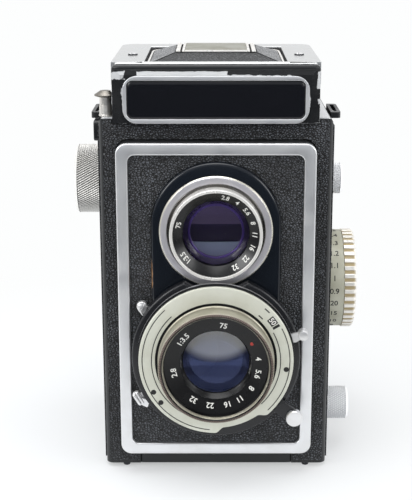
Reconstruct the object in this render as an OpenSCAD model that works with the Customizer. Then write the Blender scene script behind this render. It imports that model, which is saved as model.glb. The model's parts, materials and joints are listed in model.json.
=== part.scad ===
// Twin lens reflex camera for roll film, as an assembly of separate pieces.
// Every module works in the measuring frame: X to the right as seen from the front, Y back from the
// body's front face, Z up from the body's underside. seat() moves a piece from there to the part's own
// frame, whose origin is under the middle of the camera, on the surface that its feet stand on.

/* [Body] */
// Width of the body across its leatherette
body_w = 78; // [76.5:0.5:79]
// Height from the underside to the shoulder
body_h = 122.5; // [122:0.25:123]
// Depth of the casting, from its front face to the edge that the back door closes
body_d = 68.8; // [68.6:0.1:70]
// Thickness of the casting's side walls
wall_t = 4.6; // [4.2:0.1:4.8]
// Thickness of the leatherette
skin_t = 0.5; // [0.4:0.05:0.6]
// Height of the feet
foot_h = 1.5; // [1.2:0.1:2.5]

/* [Lens board] */
// Outer width of the satin frame
frame_w = 65.2; // [64.6:0.1:65.6]
// Outer height of the satin frame
frame_h = 108.5; // [107.5:0.25:109]
// Height of the frame's lower edge
frame_z = 6.6; // [6.4:0.1:7]
// Width of the frame's rails
rail_w = 3.9; // [3:0.1:4.2]
// How far the frame stands in front of the body
board_reach = 6.5; // [6:0.1:7]
// Travel of the lens board towards the film
focus_in = 2; // [1:0.25:2]
// Travel of the lens board away from the film
focus_out = 5; // [2:0.25:5]

/* [Lenses] */
// Height of the taking lens axis
taking_z = 44.1; // [44:0.1:45]
// Distance between the two lens axes
lens_pitch = 42; // [41.6:0.1:42.4]
// Radius of the silver flange round the viewing lens
view_flange_r = 18.7; // [18:0.1:19.4]
// Radius of the viewing lens barrel's bright front rim
view_rim_r = 15.2; // [15:0.1:15.6]
// Radius of the shutter case
shutter_r = 28; // [27.6:0.1:28.2]
// Radius of the shutter's face plate
plate_r = 25.6; // [25:0.1:26.2]
// Radius of the taking lens bezel
bezel_r = 18.9; // [18.6:0.1:19.2]
// How far the bezel's front edge stands in front of the body
nose_reach = 23.4; // [22:0.1:24]

/* [Finder hood] */
// Width of the hood's base box
hood_w = 67.4; // [67.2:0.1:67.6]
// Width of the folding lid across its side flanges
lid_w = 68.4; // [68.2:0.1:69.5]
// Height of the lid's top face above the body's underside
hood_top = 140.1; // [140:0.05:140.4]

/* [Controls] */
// Radius of the winding knob
wind_r = 12.85; // [11:0.05:13.5]
// Distance of the winding knob's outer face from the middle plane
wind_reach = 51.4; // [48:0.1:52]
// Radius of the focusing dial
dial_r = 18.2; // [16:0.1:18.6]
// Distance of the focusing dial's outer face from the middle plane
dial_reach = 50.4; // [48.5:0.1:52]
// Radius of the two spool knobs
spool_knob_r = 5.9; // [5:0.1:6.5]
// Tapping radius of the quarter inch tripod thread
tripod_r = 2.55; // [2.5:0.01:2.6]

/* [Hidden] */
$fn = 96;
play = 0.05;
gap = 0.3;

// Casting
half_w = body_w / 2;
shell_x = half_w - skin_t;
inner_x = shell_x - wall_t;
deck_t = 0.5;
shell_top = body_h - deck_t;
corner_r = 2.5;
front_wall_y = 3;
cavity_top = body_h - 3.5;
bottom_rail_x = 30.1;
bottom_rail_t = 2.2;
lip_x = 26.1;
lip_h = 3.4;
edge_strip = 1.4;
foot_r = 1.3;
foot_x = 31.5;
foot_y = [2.6, 62];
well_x = 28.5;
well_y = [3.5, 56.5];

// Back door
door_gap = 0.2;
door_t = 2;
door_y = body_d + door_gap;
back_y = door_y + door_t + skin_t;
door_top = 117.6;
door_hinge = [body_d + 1.1, 119.8];
door_knuckle_r = 1.6;
door_knuckle_x = 14;
door_knuckle_end = 26;
door_pin_r = 0.8;
bush_y = 42;
bush_r = 5.5;
bush_z = -1;
plate_y = body_d - 2.2;

// Part frame
front_y = -(back_y - nose_reach) / 2;

// Optical layout
view_z = taking_z + lens_pitch;
frame_r = 3.5;
board_face = board_reach - 1.5;
panel_face = board_reach + 0.4;
arch_r = 21.3;
arch_rise = 1.7;
lens_hole_r = 12;
mirror_y = 29.5;
mirror_t = 1.5;
tray_t = 0.8;
mirror_low = -24;
mirror_high = 34;
gate_half = 28;
gate_z = [13.6, 73.6];
gate_lug_z = [8.8, 77.4];
gate_lug_x = 31.3;
tunnel_y = 14;
tunnel_mouth_z = [33.2, 57.3];
tunnel_t = 1.5;
gate_y = 62.5;
gate_t = 2.3;
film_rail_x = [28.8, 30];
film_rail_t = 1.5;
roller_y = 61.8;
roller_r = 1.9;
roller_pin_r = 1;
roller_z = [11.3, 75.9];

// Shafts and knobs, each axis as [Y, Z]
wind_axis = [56, 90.5];
focus_axis = [41, 56];
supply_axis = [19, 15.3];
release_xy = [-36.2, 4.5];
shaft_r = 2.5;
wind_bush_r = 4.05;
spool_bush_r = 3.55;
focus_bush_r = 4.55;
spool_pin_r = 2;
spool_half = 32.7;
spool_flange_r = 12.5;
release_r = 1.5;
release_floor = 111.5;
release_foot = 117.5;
release_cap_z = 128.6;

// Focusing rack and pinion
gear_module = 0.5;
gear_teeth = 16;
pitch_r = gear_module * gear_teeth / 2;
tooth_pitch = PI * gear_module;
tooth_out = 0.42;
tooth_in = 0.55;
tooth_slack = 0.05;
pressure_angle = 20;
rack_x = [29.9, 31.2];
rack_back = 51.5;
rod_xz = [26, 66];
rod_r = 1.3;

// Shutter layers, as distances in front of the body
hub_r = 20.5;
neck_r = 20.9;
back_ring_r = [hub_r + 0.2, 22.9];
front_ring_r = [neck_r + 0.2, 26.2];
case_f = [panel_face + 2.3, panel_face + 5.7];
plate_f = [case_f[1] + 2.2, case_f[1] + 3.3];
scallop_r = 23.7;
scallop_from = -90.7;
scallop_to = -47.5;
ring_t = 0.8;

// Finder hood
hood_x = hood_w / 2;
hood_wall_t = 2.2;
hood_y = [0.4, 59];
hood_inner_y = [1, 57];
hood_rim_z = 132.3;
hood_front_y = -1.8;
hood_skirt_z = 120.9;
front_wall_top = hood_top - 0.2;
lid_x = lid_w / 2;
lid_t = 1.2;
lid_y = [3.7, 60];
lid_flange_z = hood_rim_z + gap;
lid_hinge = [2.1, hood_top - 1.4];
lid_knuckle_r = 1.3;
lid_knuckle_x = 23.9;
lid_knuckle_end = 31;
lid_pin_r = 0.7;
flap_x = 23.4;
flap_y = [5, 50.5];
tab_x = 13.6;
tab_y = [23.8, 48.5];
flap_floor = hood_top - 2.9;
flap_seat = hood_top - 2.1;
screen_z = body_h + 1;
screen_t = 1.5;
side_hinge = [30.6, 127.2];
back_hinge = [55.6, 130.6];
side_reach = 27.8;
leaf_t = 0.8;
leaf_rod_r = 0.7;
leaf_pin_r = 0.5;
nameplate_z = [hood_skirt_z, 136.3];

// Placing and drawing helpers

module seat() {
    translate([0, front_y, foot_h]) children();
}

// A box between two values on each axis
module block(x, y, z) {
    translate([x[0], y[0], z[0]]) cube([x[1] - x[0], y[1] - y[0], z[1] - z[0]]);
}

module both_sides() {
    children();
    mirror([1, 0, 0]) children();
}

module along_x(x, yz, r) {
    translate([x[0], yz[0], yz[1]]) rotate([0, 90, 0]) cylinder(h = x[1] - x[0], r = r);
}

module along_y(y, xz, r) {
    translate([xz[0], y[0], xz[1]]) rotate([-90, 0, 0]) cylinder(h = y[1] - y[0], r = r);
}

module along_z(z, xy, r) {
    translate([xy[0], xy[1], z[0]]) cylinder(h = z[1] - z[0], r = r);
}

// Carries a drawing in X and Z back along Y
module facing(y) {
    translate([0, y[1], 0]) rotate([90, 0, 0]) linear_extrude(height = y[1] - y[0]) children();
}

// Carries a drawing in Y and Z across along X
module across(x) {
    translate([x[0], 0, 0]) rotate([90, 0, 90]) linear_extrude(height = x[1] - x[0]) children();
}

// Carries a drawing in X and Y up along Z
module rising(z) {
    translate([0, 0, z[0]]) linear_extrude(height = z[1] - z[0]) children();
}

// Turns a profile of radius and distance in front of the body about a lens axis
module turned(axis_z) {
    translate([0, 0, axis_z]) rotate([90, 0, 0]) rotate_extrude() children();
}

// Turns a profile of radius and X about an axis across the body
module turned_x(yz) {
    translate([0, yz[0], yz[1]]) rotate([0, 90, 0]) rotate_extrude() children();
}

module ring_profile(r, f) {
    translate([r[0], f[0]]) square([r[1] - r[0], f[1] - f[0]]);
}

// A rectangle between two values on each axis, with round corners
module round_rect(a, b, r) {
    translate([a[0] + r, b[0]]) square([a[1] - a[0] - 2 * r, b[1] - b[0]]);
    translate([a[0], b[0] + r]) square([a[1] - a[0], b[1] - b[0] - 2 * r]);
    for (u = [a[0] + r, a[1] - r], v = [b[0] + r, b[1] - r]) {
        translate([u, v]) circle(r = r);
    }
}

// Body

module body_plan() {
    round_rect([-shell_x, shell_x], [skin_t, body_d], corner_r);
}

// Front view of the body, with its two upper corners rounded
module body_front(top) {
    round_rect([-shell_x, shell_x], [-2 * corner_r, top], corner_r);
}

module board_opening() {
    round_rect(
        [-frame_w / 2 - gap, frame_w / 2 + gap],
        [frame_z - gap, frame_z + frame_h + gap],
        frame_r + gap
    );
}

module side_holes(extra) {
    along_x([-half_w - 1, -inner_x + 1], wind_axis, wind_bush_r + extra);
    along_x([-half_w - 1, -inner_x + 1], supply_axis, spool_bush_r + extra);
    along_x([inner_x - 1, half_w + 1], wind_axis, spool_bush_r + extra);
    along_x([inner_x - 1, half_w + 1], supply_axis, spool_bush_r + extra);
    along_x([inner_x - 1, half_w + 1], focus_axis, focus_bush_r + extra);
}

module body_shell() {
    color("#1d1e20") difference() {
        union() {
            intersection() {
                rising([0, shell_top]) body_plan();
                facing([0, body_d + 1]) body_front(body_h);
            }
            both_sides() {
                along_x([door_knuckle_x + gap, door_knuckle_end], door_hinge, door_knuckle_r);
                block(
                    [door_knuckle_x + gap, door_knuckle_end],
                    [body_d - 0.5, door_hinge[0]],
                    [door_hinge[1] - 1, door_hinge[1] + 1.4]
                );
            }
        }
        block([-inner_x, inner_x], [front_wall_y, body_d + 1], [bottom_rail_t, cavity_top]);
        block([-bottom_rail_x, bottom_rail_x], [front_wall_y, body_d + 1], [-1, bottom_rail_t + 1]);
        block([-lip_x - gap, lip_x + gap], [0, front_wall_y + 1], [-1, lip_h + gap]);
        facing([0, front_wall_y + 1]) board_opening();
        block([-well_x, well_x], well_y, [cavity_top - 1, body_h]);
        side_holes(play);
        along_z([release_floor, body_h], release_xy, release_r + play);
        along_x([-30, 30], door_hinge, door_pin_r + 0.04);
        along_x([-door_knuckle_x - gap, door_knuckle_x + gap], door_hinge, door_knuckle_r + gap);
    }
}

module body_leatherette() {
    color("#26272a") {
        facing([0, skin_t]) difference() {
            round_rect([-shell_x + edge_strip, shell_x - edge_strip], [1.2, shell_top - 0.25], 1.2);
            board_opening();
            translate([-lip_x - 0.8, 0]) square([2 * lip_x + 1.6, lip_h + 0.8]);
            translate([-hood_x - gap, hood_skirt_z - gap]) square([2 * (hood_x + gap), 4]);
        }
        difference() {
            both_sides() block([shell_x, half_w], [3.2, body_d - 2.3], [1.4, body_h - 3.1]);
            side_holes(2 * gap);
            block([-half_w - 1, -shell_x + 1], [7.7, 30.3], [113, 120.4]);
        }
    }
}

module shoulder_plate() {
    color("#c9cacb") difference() {
        intersection() {
            rising([shell_top, body_h]) body_plan();
            facing([0, body_d + 1]) body_front(body_h);
        }
        block([-well_x, well_x], well_y, [shell_top - 1, body_h + 1]);
        along_z([shell_top - 1, body_h + 1], release_xy, release_r + play);
    }
}

module feet() {
    color("#2b2b2c") for (x = [-foot_x, foot_x], y = foot_y) {
        along_z([-foot_h, 0], [x, y], foot_r);
    }
}

// A loop that a strap's end clips into
module strap_loop() {
    rising([120.4, 122.4]) difference() {
        round_rect([shell_x - 1.5, shell_x + 3.3], [12, 31], 1.4);
        translate([shell_x - 3, 0]) square([3, 40]);
        round_rect([shell_x + 0.9, shell_x + 2.2], [14, 29], 0.6);
    }
}

module strap_lugs() {
    color("#202124") both_sides() strap_loop();
}

module counter_cover() {
    color("#202124") difference() {
        across([-half_w - 1.8, -shell_x]) round_rect([8, 30], [113.3, 120.1], 1.2);
        along_x([-half_w - 3, -half_w - 0.9], [19, 116.7], 2.2);
    }
}

module bushes() {
    color("#b9babb") {
        difference() {
            along_x([-half_w - 0.5, -inner_x], wind_axis, wind_bush_r);
            along_x([-half_w - 1, -inner_x + 1], wind_axis, shaft_r + play);
        }
        for (yz = [wind_axis, supply_axis]) {
            difference() {
                along_x([inner_x, half_w + 0.5], yz, spool_bush_r);
                along_x([inner_x - 1, half_w + 1], yz, spool_pin_r + play);
            }
        }
        difference() {
            along_x([inner_x, half_w + 0.7], focus_axis, focus_bush_r);
            along_x([inner_x - 1, half_w + 1], focus_axis, shaft_r + play);
        }
        along_x([-shell_x, -inner_x], supply_axis, spool_bush_r);
        along_x([-inner_x, -spool_half + 3.8], supply_axis, spool_pin_r);
        difference() {
            along_z([body_h, body_h + 1.1], release_xy, release_r + 0.55);
            along_z([body_h - 1, body_h + 2], release_xy, release_r + play);
        }
    }
}

// One closed tube along a helix about Z
module coil(r, wire_r, height, turns) {
    sides = 6;
    steps = 12 * turns;
    rise = height - 2 * wire_r;
    points = [
        for (i = [0:steps], j = [0:sides - 1])
            let (turn = 360 * turns * i / steps, around = 360 * j / sides)
            [
                (r + wire_r * cos(around)) * cos(turn),
                (r + wire_r * cos(around)) * sin(turn),
                wire_r + rise * i / steps + wire_r * sin(around)
            ]
    ];
    walls = [
        for (i = [0:steps - 1], j = [0:sides - 1])
            let (k = (j + 1) % sides)
            [i * sides + k, i * sides + j, (i + 1) * sides + j, (i + 1) * sides + k]
    ];
    near_end = [for (j = [0:sides - 1]) j];
    far_end = [for (j = [sides - 1:-1:0]) steps * sides + j];
    polyhedron(points, concat([near_end, far_end], walls));
}

module release_spring() {
    color("#8f9092") translate([release_xy[0], release_xy[1], release_floor]) {
        coil(1.05, 0.2, release_foot - release_floor - play, 6);
    }
}

module hinge_pins() {
    color("#a8a9ab") {
        along_x([-lid_knuckle_end, lid_knuckle_end], lid_hinge, lid_pin_r);
        along_x([-door_knuckle_end, door_knuckle_end], door_hinge, door_pin_r);
    }
}

// Chambers, mirror and film gate

module mirror_plane() {
    translate([0, mirror_y, view_z]) rotate([45, 0, 0]) children();
}

module reflex_mirror() {
    color("#cfd6da") mirror_plane() block([-26, 26], [mirror_low, mirror_high], [-mirror_t, 0]);
}

// Section of the light tunnel in Y and Z, from the lens board's side to the film gate
module tunnel_section(y, t) {
    polygon([
        [y[0], tunnel_mouth_z[0] - t], [y[0], tunnel_mouth_z[1] + t],
        [y[1], taking_z + gate_half + t], [y[1], taking_z - gate_half - t]
    ]);
}

module chamber_casting() {
    roller_lug_y = [59.5, gate_y + gate_t];
    rod_boss_r = rod_r + 0.9;
    color("#232426") difference() {
        union() {
            across([-gate_half - tunnel_t, gate_half + tunnel_t]) {
                tunnel_section([tunnel_y, gate_y], tunnel_t - 0.4);
            }
            block([-inner_x, inner_x], [gate_y, gate_y + gate_t], gate_z);
            mirror_plane() {
                block([-inner_x, inner_x], [mirror_low, mirror_high], [-mirror_t - tray_t, -mirror_t]);
            }
            block([-20, 20], [tunnel_y + 0.6, tunnel_y + 2.2], [tunnel_mouth_z[1], 68.6]);
            both_sides() {
                block(film_rail_x, [gate_y, gate_y + gate_t + film_rail_t], gate_z);
                block([gate_lug_x, inner_x], roller_lug_y, [gate_lug_z[0], gate_z[0]]);
                block([gate_lug_x, inner_x], roller_lug_y, [gate_z[1], gate_lug_z[1]]);
                block([gate_lug_x, inner_x], [gate_y, gate_y + gate_t], gate_lug_z);
                along_y([17, 25], rod_xz, rod_boss_r);
                block([rod_xz[0] - 1.4, rod_xz[0] + 1.4], [18, 25], [59, rod_xz[1] - 1.6]);
            }
        }
        across([-gate_half, gate_half]) tunnel_section([tunnel_y - 1, gate_y + gate_t + 1], 0);
        both_sides() along_y([16, 26], rod_xz, rod_r + play);
        for (z = roller_z) {
            along_x([-inner_x - 1, inner_x + 1], [roller_y, z], roller_pin_r + play);
        }
    }
}

module film_roller(z) {
    color("#b4b5b7") {
        along_x([-31, 31], [roller_y, z], roller_r);
        along_x([-inner_x + 0.2, inner_x - 0.2], [roller_y, z], roller_pin_r);
    }
}

module film_roller_upper() {
    film_roller(roller_z[1]);
}

module film_roller_lower() {
    film_roller(roller_z[0]);
}

// Lens board

module frame_outline(inset, r) {
    round_rect(
        [-frame_w / 2 + inset, frame_w / 2 - inset],
        [frame_z + inset, frame_z + frame_h - inset],
        r
    );
}

module lens_holes(r) {
    for (z = [taking_z, view_z]) {
        translate([0, z]) circle(r = r);
    }
}

module panel_outline(extra) {
    translate([0, view_z + arch_rise]) circle(r = arch_r + extra);
    translate([0, taking_z]) circle(r = 26 + extra);
    translate([-arch_r - extra, taking_z]) square([2 * (arch_r + extra), lens_pitch + arch_rise]);
}

module lens_board() {
    board_wall = 1.2;
    board_depth = 6.5;
    color("#222326") {
        facing([-board_face, -board_face + 2]) difference() {
            frame_outline(0, frame_r);
            lens_holes(lens_hole_r);
        }
        facing([-board_face + 2, board_depth]) difference() {
            frame_outline(0, frame_r);
            frame_outline(board_wall, frame_r - board_wall);
        }
    }
}

module front_frame() {
    bevel = 0.45;
    color("#c4c5c6") {
        facing([-board_reach + bevel, -board_face]) difference() {
            frame_outline(0, frame_r);
            frame_outline(rail_w, 2.3);
        }
        facing([-board_reach, -board_reach + bevel]) difference() {
            frame_outline(bevel, frame_r - bevel);
            frame_outline(rail_w - bevel, 2.3 + bevel);
        }
    }
}

module board_leatherette() {
    color("#2a2b2f") facing([-board_face - skin_t - 0.1, -board_face]) difference() {
        frame_outline(rail_w + 0.1, 2.2);
        panel_outline(0.1);
    }
}

module lens_panel() {
    color("#101114") facing([-panel_face, -board_face]) difference() {
        panel_outline(0);
        lens_holes(lens_hole_r);
    }
}

module viewing_flange() {
    color("#c0c1c2") turned(view_z) polygon([
        [16.3, panel_face], [view_flange_r, panel_face], [view_flange_r, panel_face + 0.9],
        [view_flange_r - 0.5, panel_face + 1.4], [16.3, panel_face + 1.4]
    ]);
}

module viewing_barrel() {
    shelf_f = panel_face + 1.5;
    rim_f = panel_face + 6.1;
    bore_r = view_rim_r - 1.3;
    color("#3a3b3e") turned(view_z) polygon([
        [10.6, -2], [lens_hole_r - 0.2, -2], [lens_hole_r - 0.2, panel_face], [16.2, panel_face],
        [16.2, shelf_f], [view_rim_r, shelf_f], [view_rim_r, rim_f],
        [bore_r, rim_f], [bore_r, panel_face + 1.1], [10.6, panel_face + 1.1]
    ]);
}

module viewing_name_ring() {
    floor_f = panel_face + 1.15;
    outer_r = view_rim_r - 1.35;
    color("#0f0f11") turned(view_z) polygon([
        [10.7, floor_f], [outer_r, floor_f], [outer_r, floor_f + 4.1],
        [outer_r - 0.7, floor_f + 4.1], [10.7, floor_f + 1.5]
    ]);
}

// A piece of glass: a flat back, a rim and a round front that rises by bulge
module lens_profile(r, back_f, rim_f, bulge) {
    ball_r = (r * r + bulge * bulge) / (2 * bulge);
    ring_profile([0, r], [back_f, rim_f]);
    intersection() {
        translate([0, rim_f + bulge - ball_r]) circle(r = ball_r, $fn = 360);
        ring_profile([0, r], [rim_f, rim_f + bulge]);
    }
}

module viewing_front_lens() {
    color("#4a3f78") turned(view_z) lens_profile(10.5, 4, panel_face + 0.6, 1.8);
}

// The drum behind the face plate, cut back where the viewing lens stands
module shutter_case() {
    color("#2d2e31") difference() {
        turned(taking_z) polygon([
            [10, -5], [lens_hole_r - 0.2, -5], [lens_hole_r - 0.2, panel_face], [hub_r, panel_face],
            [hub_r, case_f[0]], [shutter_r, case_f[0]], [shutter_r, case_f[1] - 0.4],
            [shutter_r - 0.4, case_f[1]], [neck_r, case_f[1]], [neck_r, plate_f[0]],
            [14, plate_f[0]], [14, panel_face + 0.6], [10, panel_face + 0.6]
        ]);
        along_y([-plate_f[0], -panel_face], [0, view_z], view_flange_r + gap);
    }
}

module wedge(from, to, r) {
    polygon(concat([[0, 0]], [for (a = [from:(to - from) / 4:to]) r * [cos(a), sin(a)]]));
}

module face_plate() {
    color("#cfcbb9") facing([-plate_f[1], -plate_f[0]]) translate([0, taking_z]) difference() {
        circle(r = plate_r);
        circle(r = bezel_r + 0.7);
        intersection() {
            difference() {
                circle(r = plate_r + 2);
                circle(r = scallop_r);
            }
            wedge(scallop_from, scallop_to, 2 * plate_r);
        }
    }
}

module taking_bezel() {
    foot_r = bezel_r + 0.4;
    shelf_f = plate_f[0] + 2.8;
    color("#c6c3b8") turned(taking_z) polygon([
        [15, plate_f[0]], [foot_r, plate_f[0]], [foot_r, plate_f[1] + 0.2], [bezel_r, plate_f[1] + 0.5],
        [bezel_r, nose_reach - 0.5], [bezel_r - 0.6, nose_reach], [bezel_r - 1.5, nose_reach],
        [bezel_r - 1.8, nose_reach - 0.7], [bezel_r - 1.8, shelf_f], [15, shelf_f]
    ]);
}

module taking_name_ring() {
    shelf_f = plate_f[0] + 2.85;
    outer_r = bezel_r - 1.9;
    color("#0f0f11") turned(taking_z) polygon([
        [11.5, 12], [13.9, 12], [13.9, plate_f[0] + play], [14.9, plate_f[0] + play], [14.9, shelf_f],
        [outer_r, shelf_f], [outer_r, shelf_f + 2.5], [outer_r - 0.7, shelf_f + 2.5], [11.5, shelf_f + 0.7]
    ]);
}

module taking_front_lens() {
    color("#6d82b4") turned(taking_z) lens_profile(11.4, 12.2, plate_f[0] + 0.8, 1.9);
}

module taking_rear_lens() {
    color("#7d8fb0") turned(taking_z) lens_profile(9.9, -4.5, -0.5, 1.2);
}

module guide_rods() {
    color("#b9babc") both_sides() along_y([-board_face + 2, 26], rod_xz, rod_r);
}

// Focusing gear

function involute(a) = tan(a) * 180 / PI - a;

base_r = pitch_r * cos(pressure_angle);
root_r = pitch_r - tooth_in;
tip_r = pitch_r + tooth_out;
pitch_half_angle = 90 / gear_teeth - tooth_slack / pitch_r * 180 / PI;

function flank_angle(r) =
    pitch_half_angle + involute(pressure_angle) - involute(acos(min(1, base_r / r)));

module pinion_profile() {
    flank = [for (i = [0:4]) base_r + (tip_r - base_r) * i / 4];
    right = [for (r = flank) r * [cos(flank_angle(r)), -sin(flank_angle(r))]];
    left = [for (i = [4:-1:0]) flank[i] * [cos(flank_angle(flank[i])), sin(flank_angle(flank[i]))]];
    foot_a = flank_angle(base_r);
    foot = (root_r - 0.2) * [cos(foot_a), sin(foot_a)];
    circle(r = root_r);
    for (i = [0:gear_teeth - 1]) {
        rotate(90 + i * 360 / gear_teeth) polygon(concat([[foot[0], -foot[1]]], right, left, [foot]));
    }
}

// A bar with teeth along its lower edge, drawn as one outline from front to back
module rack_profile() {
    slope = tan(pressure_angle);
    half = tooth_pitch / 4 - tooth_slack;
    pitch_z = focus_axis[1] + pitch_r;
    root_z = pitch_z + tooth_in;
    tip_z = pitch_z - tooth_out;
    top_z = root_z + 2.6;
    front = -board_face + 2;
    before = ceil((focus_in + 3) / tooth_pitch);
    after = ceil((focus_out + 2) / tooth_pitch);
    root_half = half + slope * tooth_in;
    tip_half = half - slope * tooth_out;
    teeth = [
        for (i = [-before:after])
            let (y = focus_axis[0] + (i + 0.5) * tooth_pitch)
            each [
                [y - root_half, root_z], [y - tip_half, tip_z],
                [y + tip_half, tip_z], [y + root_half, root_z]
            ]
    ];
    polygon(concat([[front, top_z], [front, root_z]], teeth, [[rack_back, root_z], [rack_back, top_z]]));
}

module focus_rack() {
    color("#a9aaac") across(rack_x) rack_profile();
}

module focus_shaft() {
    color("#a9aaac") {
        across(rack_x) translate(focus_axis) pinion_profile();
        along_x([rack_x[1], dial_reach - 1.6], focus_axis, shaft_r);
    }
}

module focus_dial() {
    color("#d6d1bc") turned_x(focus_axis) {
        ring_profile([shaft_r + play, dial_r - 0.3], [half_w + 1.1, dial_reach - 5.2]);
    }
}

module focus_grip() {
    inner = dial_reach - 5.15;
    color("#b7b3a4") turned_x(focus_axis) polygon([
        [shaft_r + play, inner], [dial_r, inner], [dial_r, dial_reach - 0.8], [dial_r - 0.8, dial_reach],
        [0, dial_reach], [0, dial_reach - 1.5], [shaft_r + play, dial_reach - 1.5]
    ]);
}

// Shutter levers

module lever_ring(r, f) {
    turned(taking_z) ring_profile(r, f);
}

// Carries a drawing of radius and sideways offset, turned to an angle about the taking lens axis
module lever_arm(angle, f) {
    facing([-f[1], -f[0]]) translate([0, taking_z]) rotate(angle) children();
}

module sync_lever() {
    f = [panel_face + 0.3, panel_face + 0.3 + ring_t];
    color("#b5b4ae") {
        lever_ring(back_ring_r, f);
        lever_arm(146, f) translate([22.3, -1]) square([7.7, 2]);
        lever_arm(146, [f[0], f[0] + 2.4]) {
            translate([30.1, 0]) circle(r = 1.65);
            polygon([[28.9, 1.1], [30.9, 1.4], [29.6, 4.2]]);
        }
    }
}

module aperture_lever() {
    f = [panel_face + 1.3, panel_face + 1.3 + ring_t];
    color("#b5b4ae") {
        lever_ring(back_ring_r, f);
        lever_arm(211, f) translate([22.3, -1.2]) square([8.7, 2.4]);
        lever_arm(211, [f[0], f[0] + 2.3]) {
            translate([29.3, -2.4]) square([2.5, 4.8]);
            polygon([[29.5, 0.4], [28.2, 2.4], [29.5, 3.8], [30.4, 2.3]]);
        }
    }
}

module speed_lever() {
    f = [case_f[1] + 0.2, case_f[1] + 0.2 + ring_t];
    color("#b5b4ae") {
        lever_ring(front_ring_r, f);
        lever_arm(17.4, f) translate([25.6, -1.3]) square([4.4, 2.6]);
        lever_arm(17.4, [f[0], f[0] + 3.7]) translate([30, 0]) circle(r = 1.65);
    }
}

module cocking_lever() {
    f = [case_f[1] + 1.2, case_f[1] + 1.2 + ring_t];
    color("#b5b4ae") {
        lever_ring(front_ring_r, f);
        lever_arm(-38, f) translate([25.6, -2.4]) square([7.6, 4.8]);
        lever_arm(-38, [f[0], f[0] + 2.5]) translate([33.2, 0]) circle(r = 2.75);
    }
}

// Winding and spools

module wind_knob() {
    color("#b4b2aa") turned_x(wind_axis) polygon([
        [shaft_r + play, -half_w - 0.9], [wind_r - 0.7, -half_w - 0.9], [wind_r, -half_w - 1.6],
        [wind_r, -wind_reach + 1], [wind_r - 1, -wind_reach], [0, -wind_reach],
        [0, -wind_reach + 1.6], [shaft_r + play, -wind_reach + 1.6]
    ]);
}

module wind_shaft() {
    color("#9d9ea0") {
        along_x([-wind_reach + 1.7, -spool_half + 4.1], wind_axis, shaft_r);
        translate([0, wind_axis[0], wind_axis[1]]) {
            block([-spool_half + 0.4, -spool_half + 3.6], [-0.6, 0.6], [-4.2, 4.2]);
        }
    }
}

module take_up_spool() {
    core_r = 6;
    flange_t = 0.8;
    bore_r = shaft_r + 2 * play;
    bore_end = spool_half - 4.2;
    color("#7c3f34") difference() {
        turned_x(wind_axis) {
            ring_profile([0, core_r], [-spool_half, spool_half]);
            ring_profile([0, spool_flange_r], [-spool_half, -spool_half + flange_t]);
            ring_profile([0, spool_flange_r], [spool_half - flange_t, spool_half]);
        }
        along_x([-spool_half - 1, -bore_end], wind_axis, bore_r);
        along_x([bore_end, spool_half + 1], wind_axis, bore_r);
        translate([0, wind_axis[0], wind_axis[1]]) {
            block([-spool_half - 1, -spool_half + 3.8], [-0.75, 0.75], [-4.4, 4.4]);
            block([-25, 25], [-0.6, 0.6], [-core_r - 1, core_r + 1]);
        }
    }
}

module spool_knob(yz, reach, r) {
    color("#b4b2aa") turned_x(yz) polygon([
        [0, spool_half - 3.8], [spool_pin_r - 0.5, spool_half - 3.8], [spool_pin_r, spool_half - 3.2],
        [spool_pin_r, half_w + 1.1], [r - 0.5, half_w + 1.1], [r, half_w + 1.6],
        [r, reach - 0.8], [r - 0.8, reach], [0, reach]
    ]);
}

module upper_spool_knob() {
    spool_knob(wind_axis, 47.2, spool_knob_r - 0.1);
}

module lower_spool_knob() {
    spool_knob(supply_axis, 47.5, spool_knob_r);
}

module release_button() {
    color("#bdbdbb") {
        along_z([release_foot, release_cap_z + 0.4], release_xy, release_r);
        difference() {
            translate([release_xy[0], release_xy[1], release_cap_z]) rotate_extrude() polygon([
                [0, 0], [3.6, 0], [3.6, 0.5], [2.4, 2], [2, 2.2], [0, 2.2]
            ]);
            block([-hood_x - gap, 0], [0, 10], [release_cap_z - 1, release_cap_z + 4]);
        }
    }
}

// Finder hood

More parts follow.
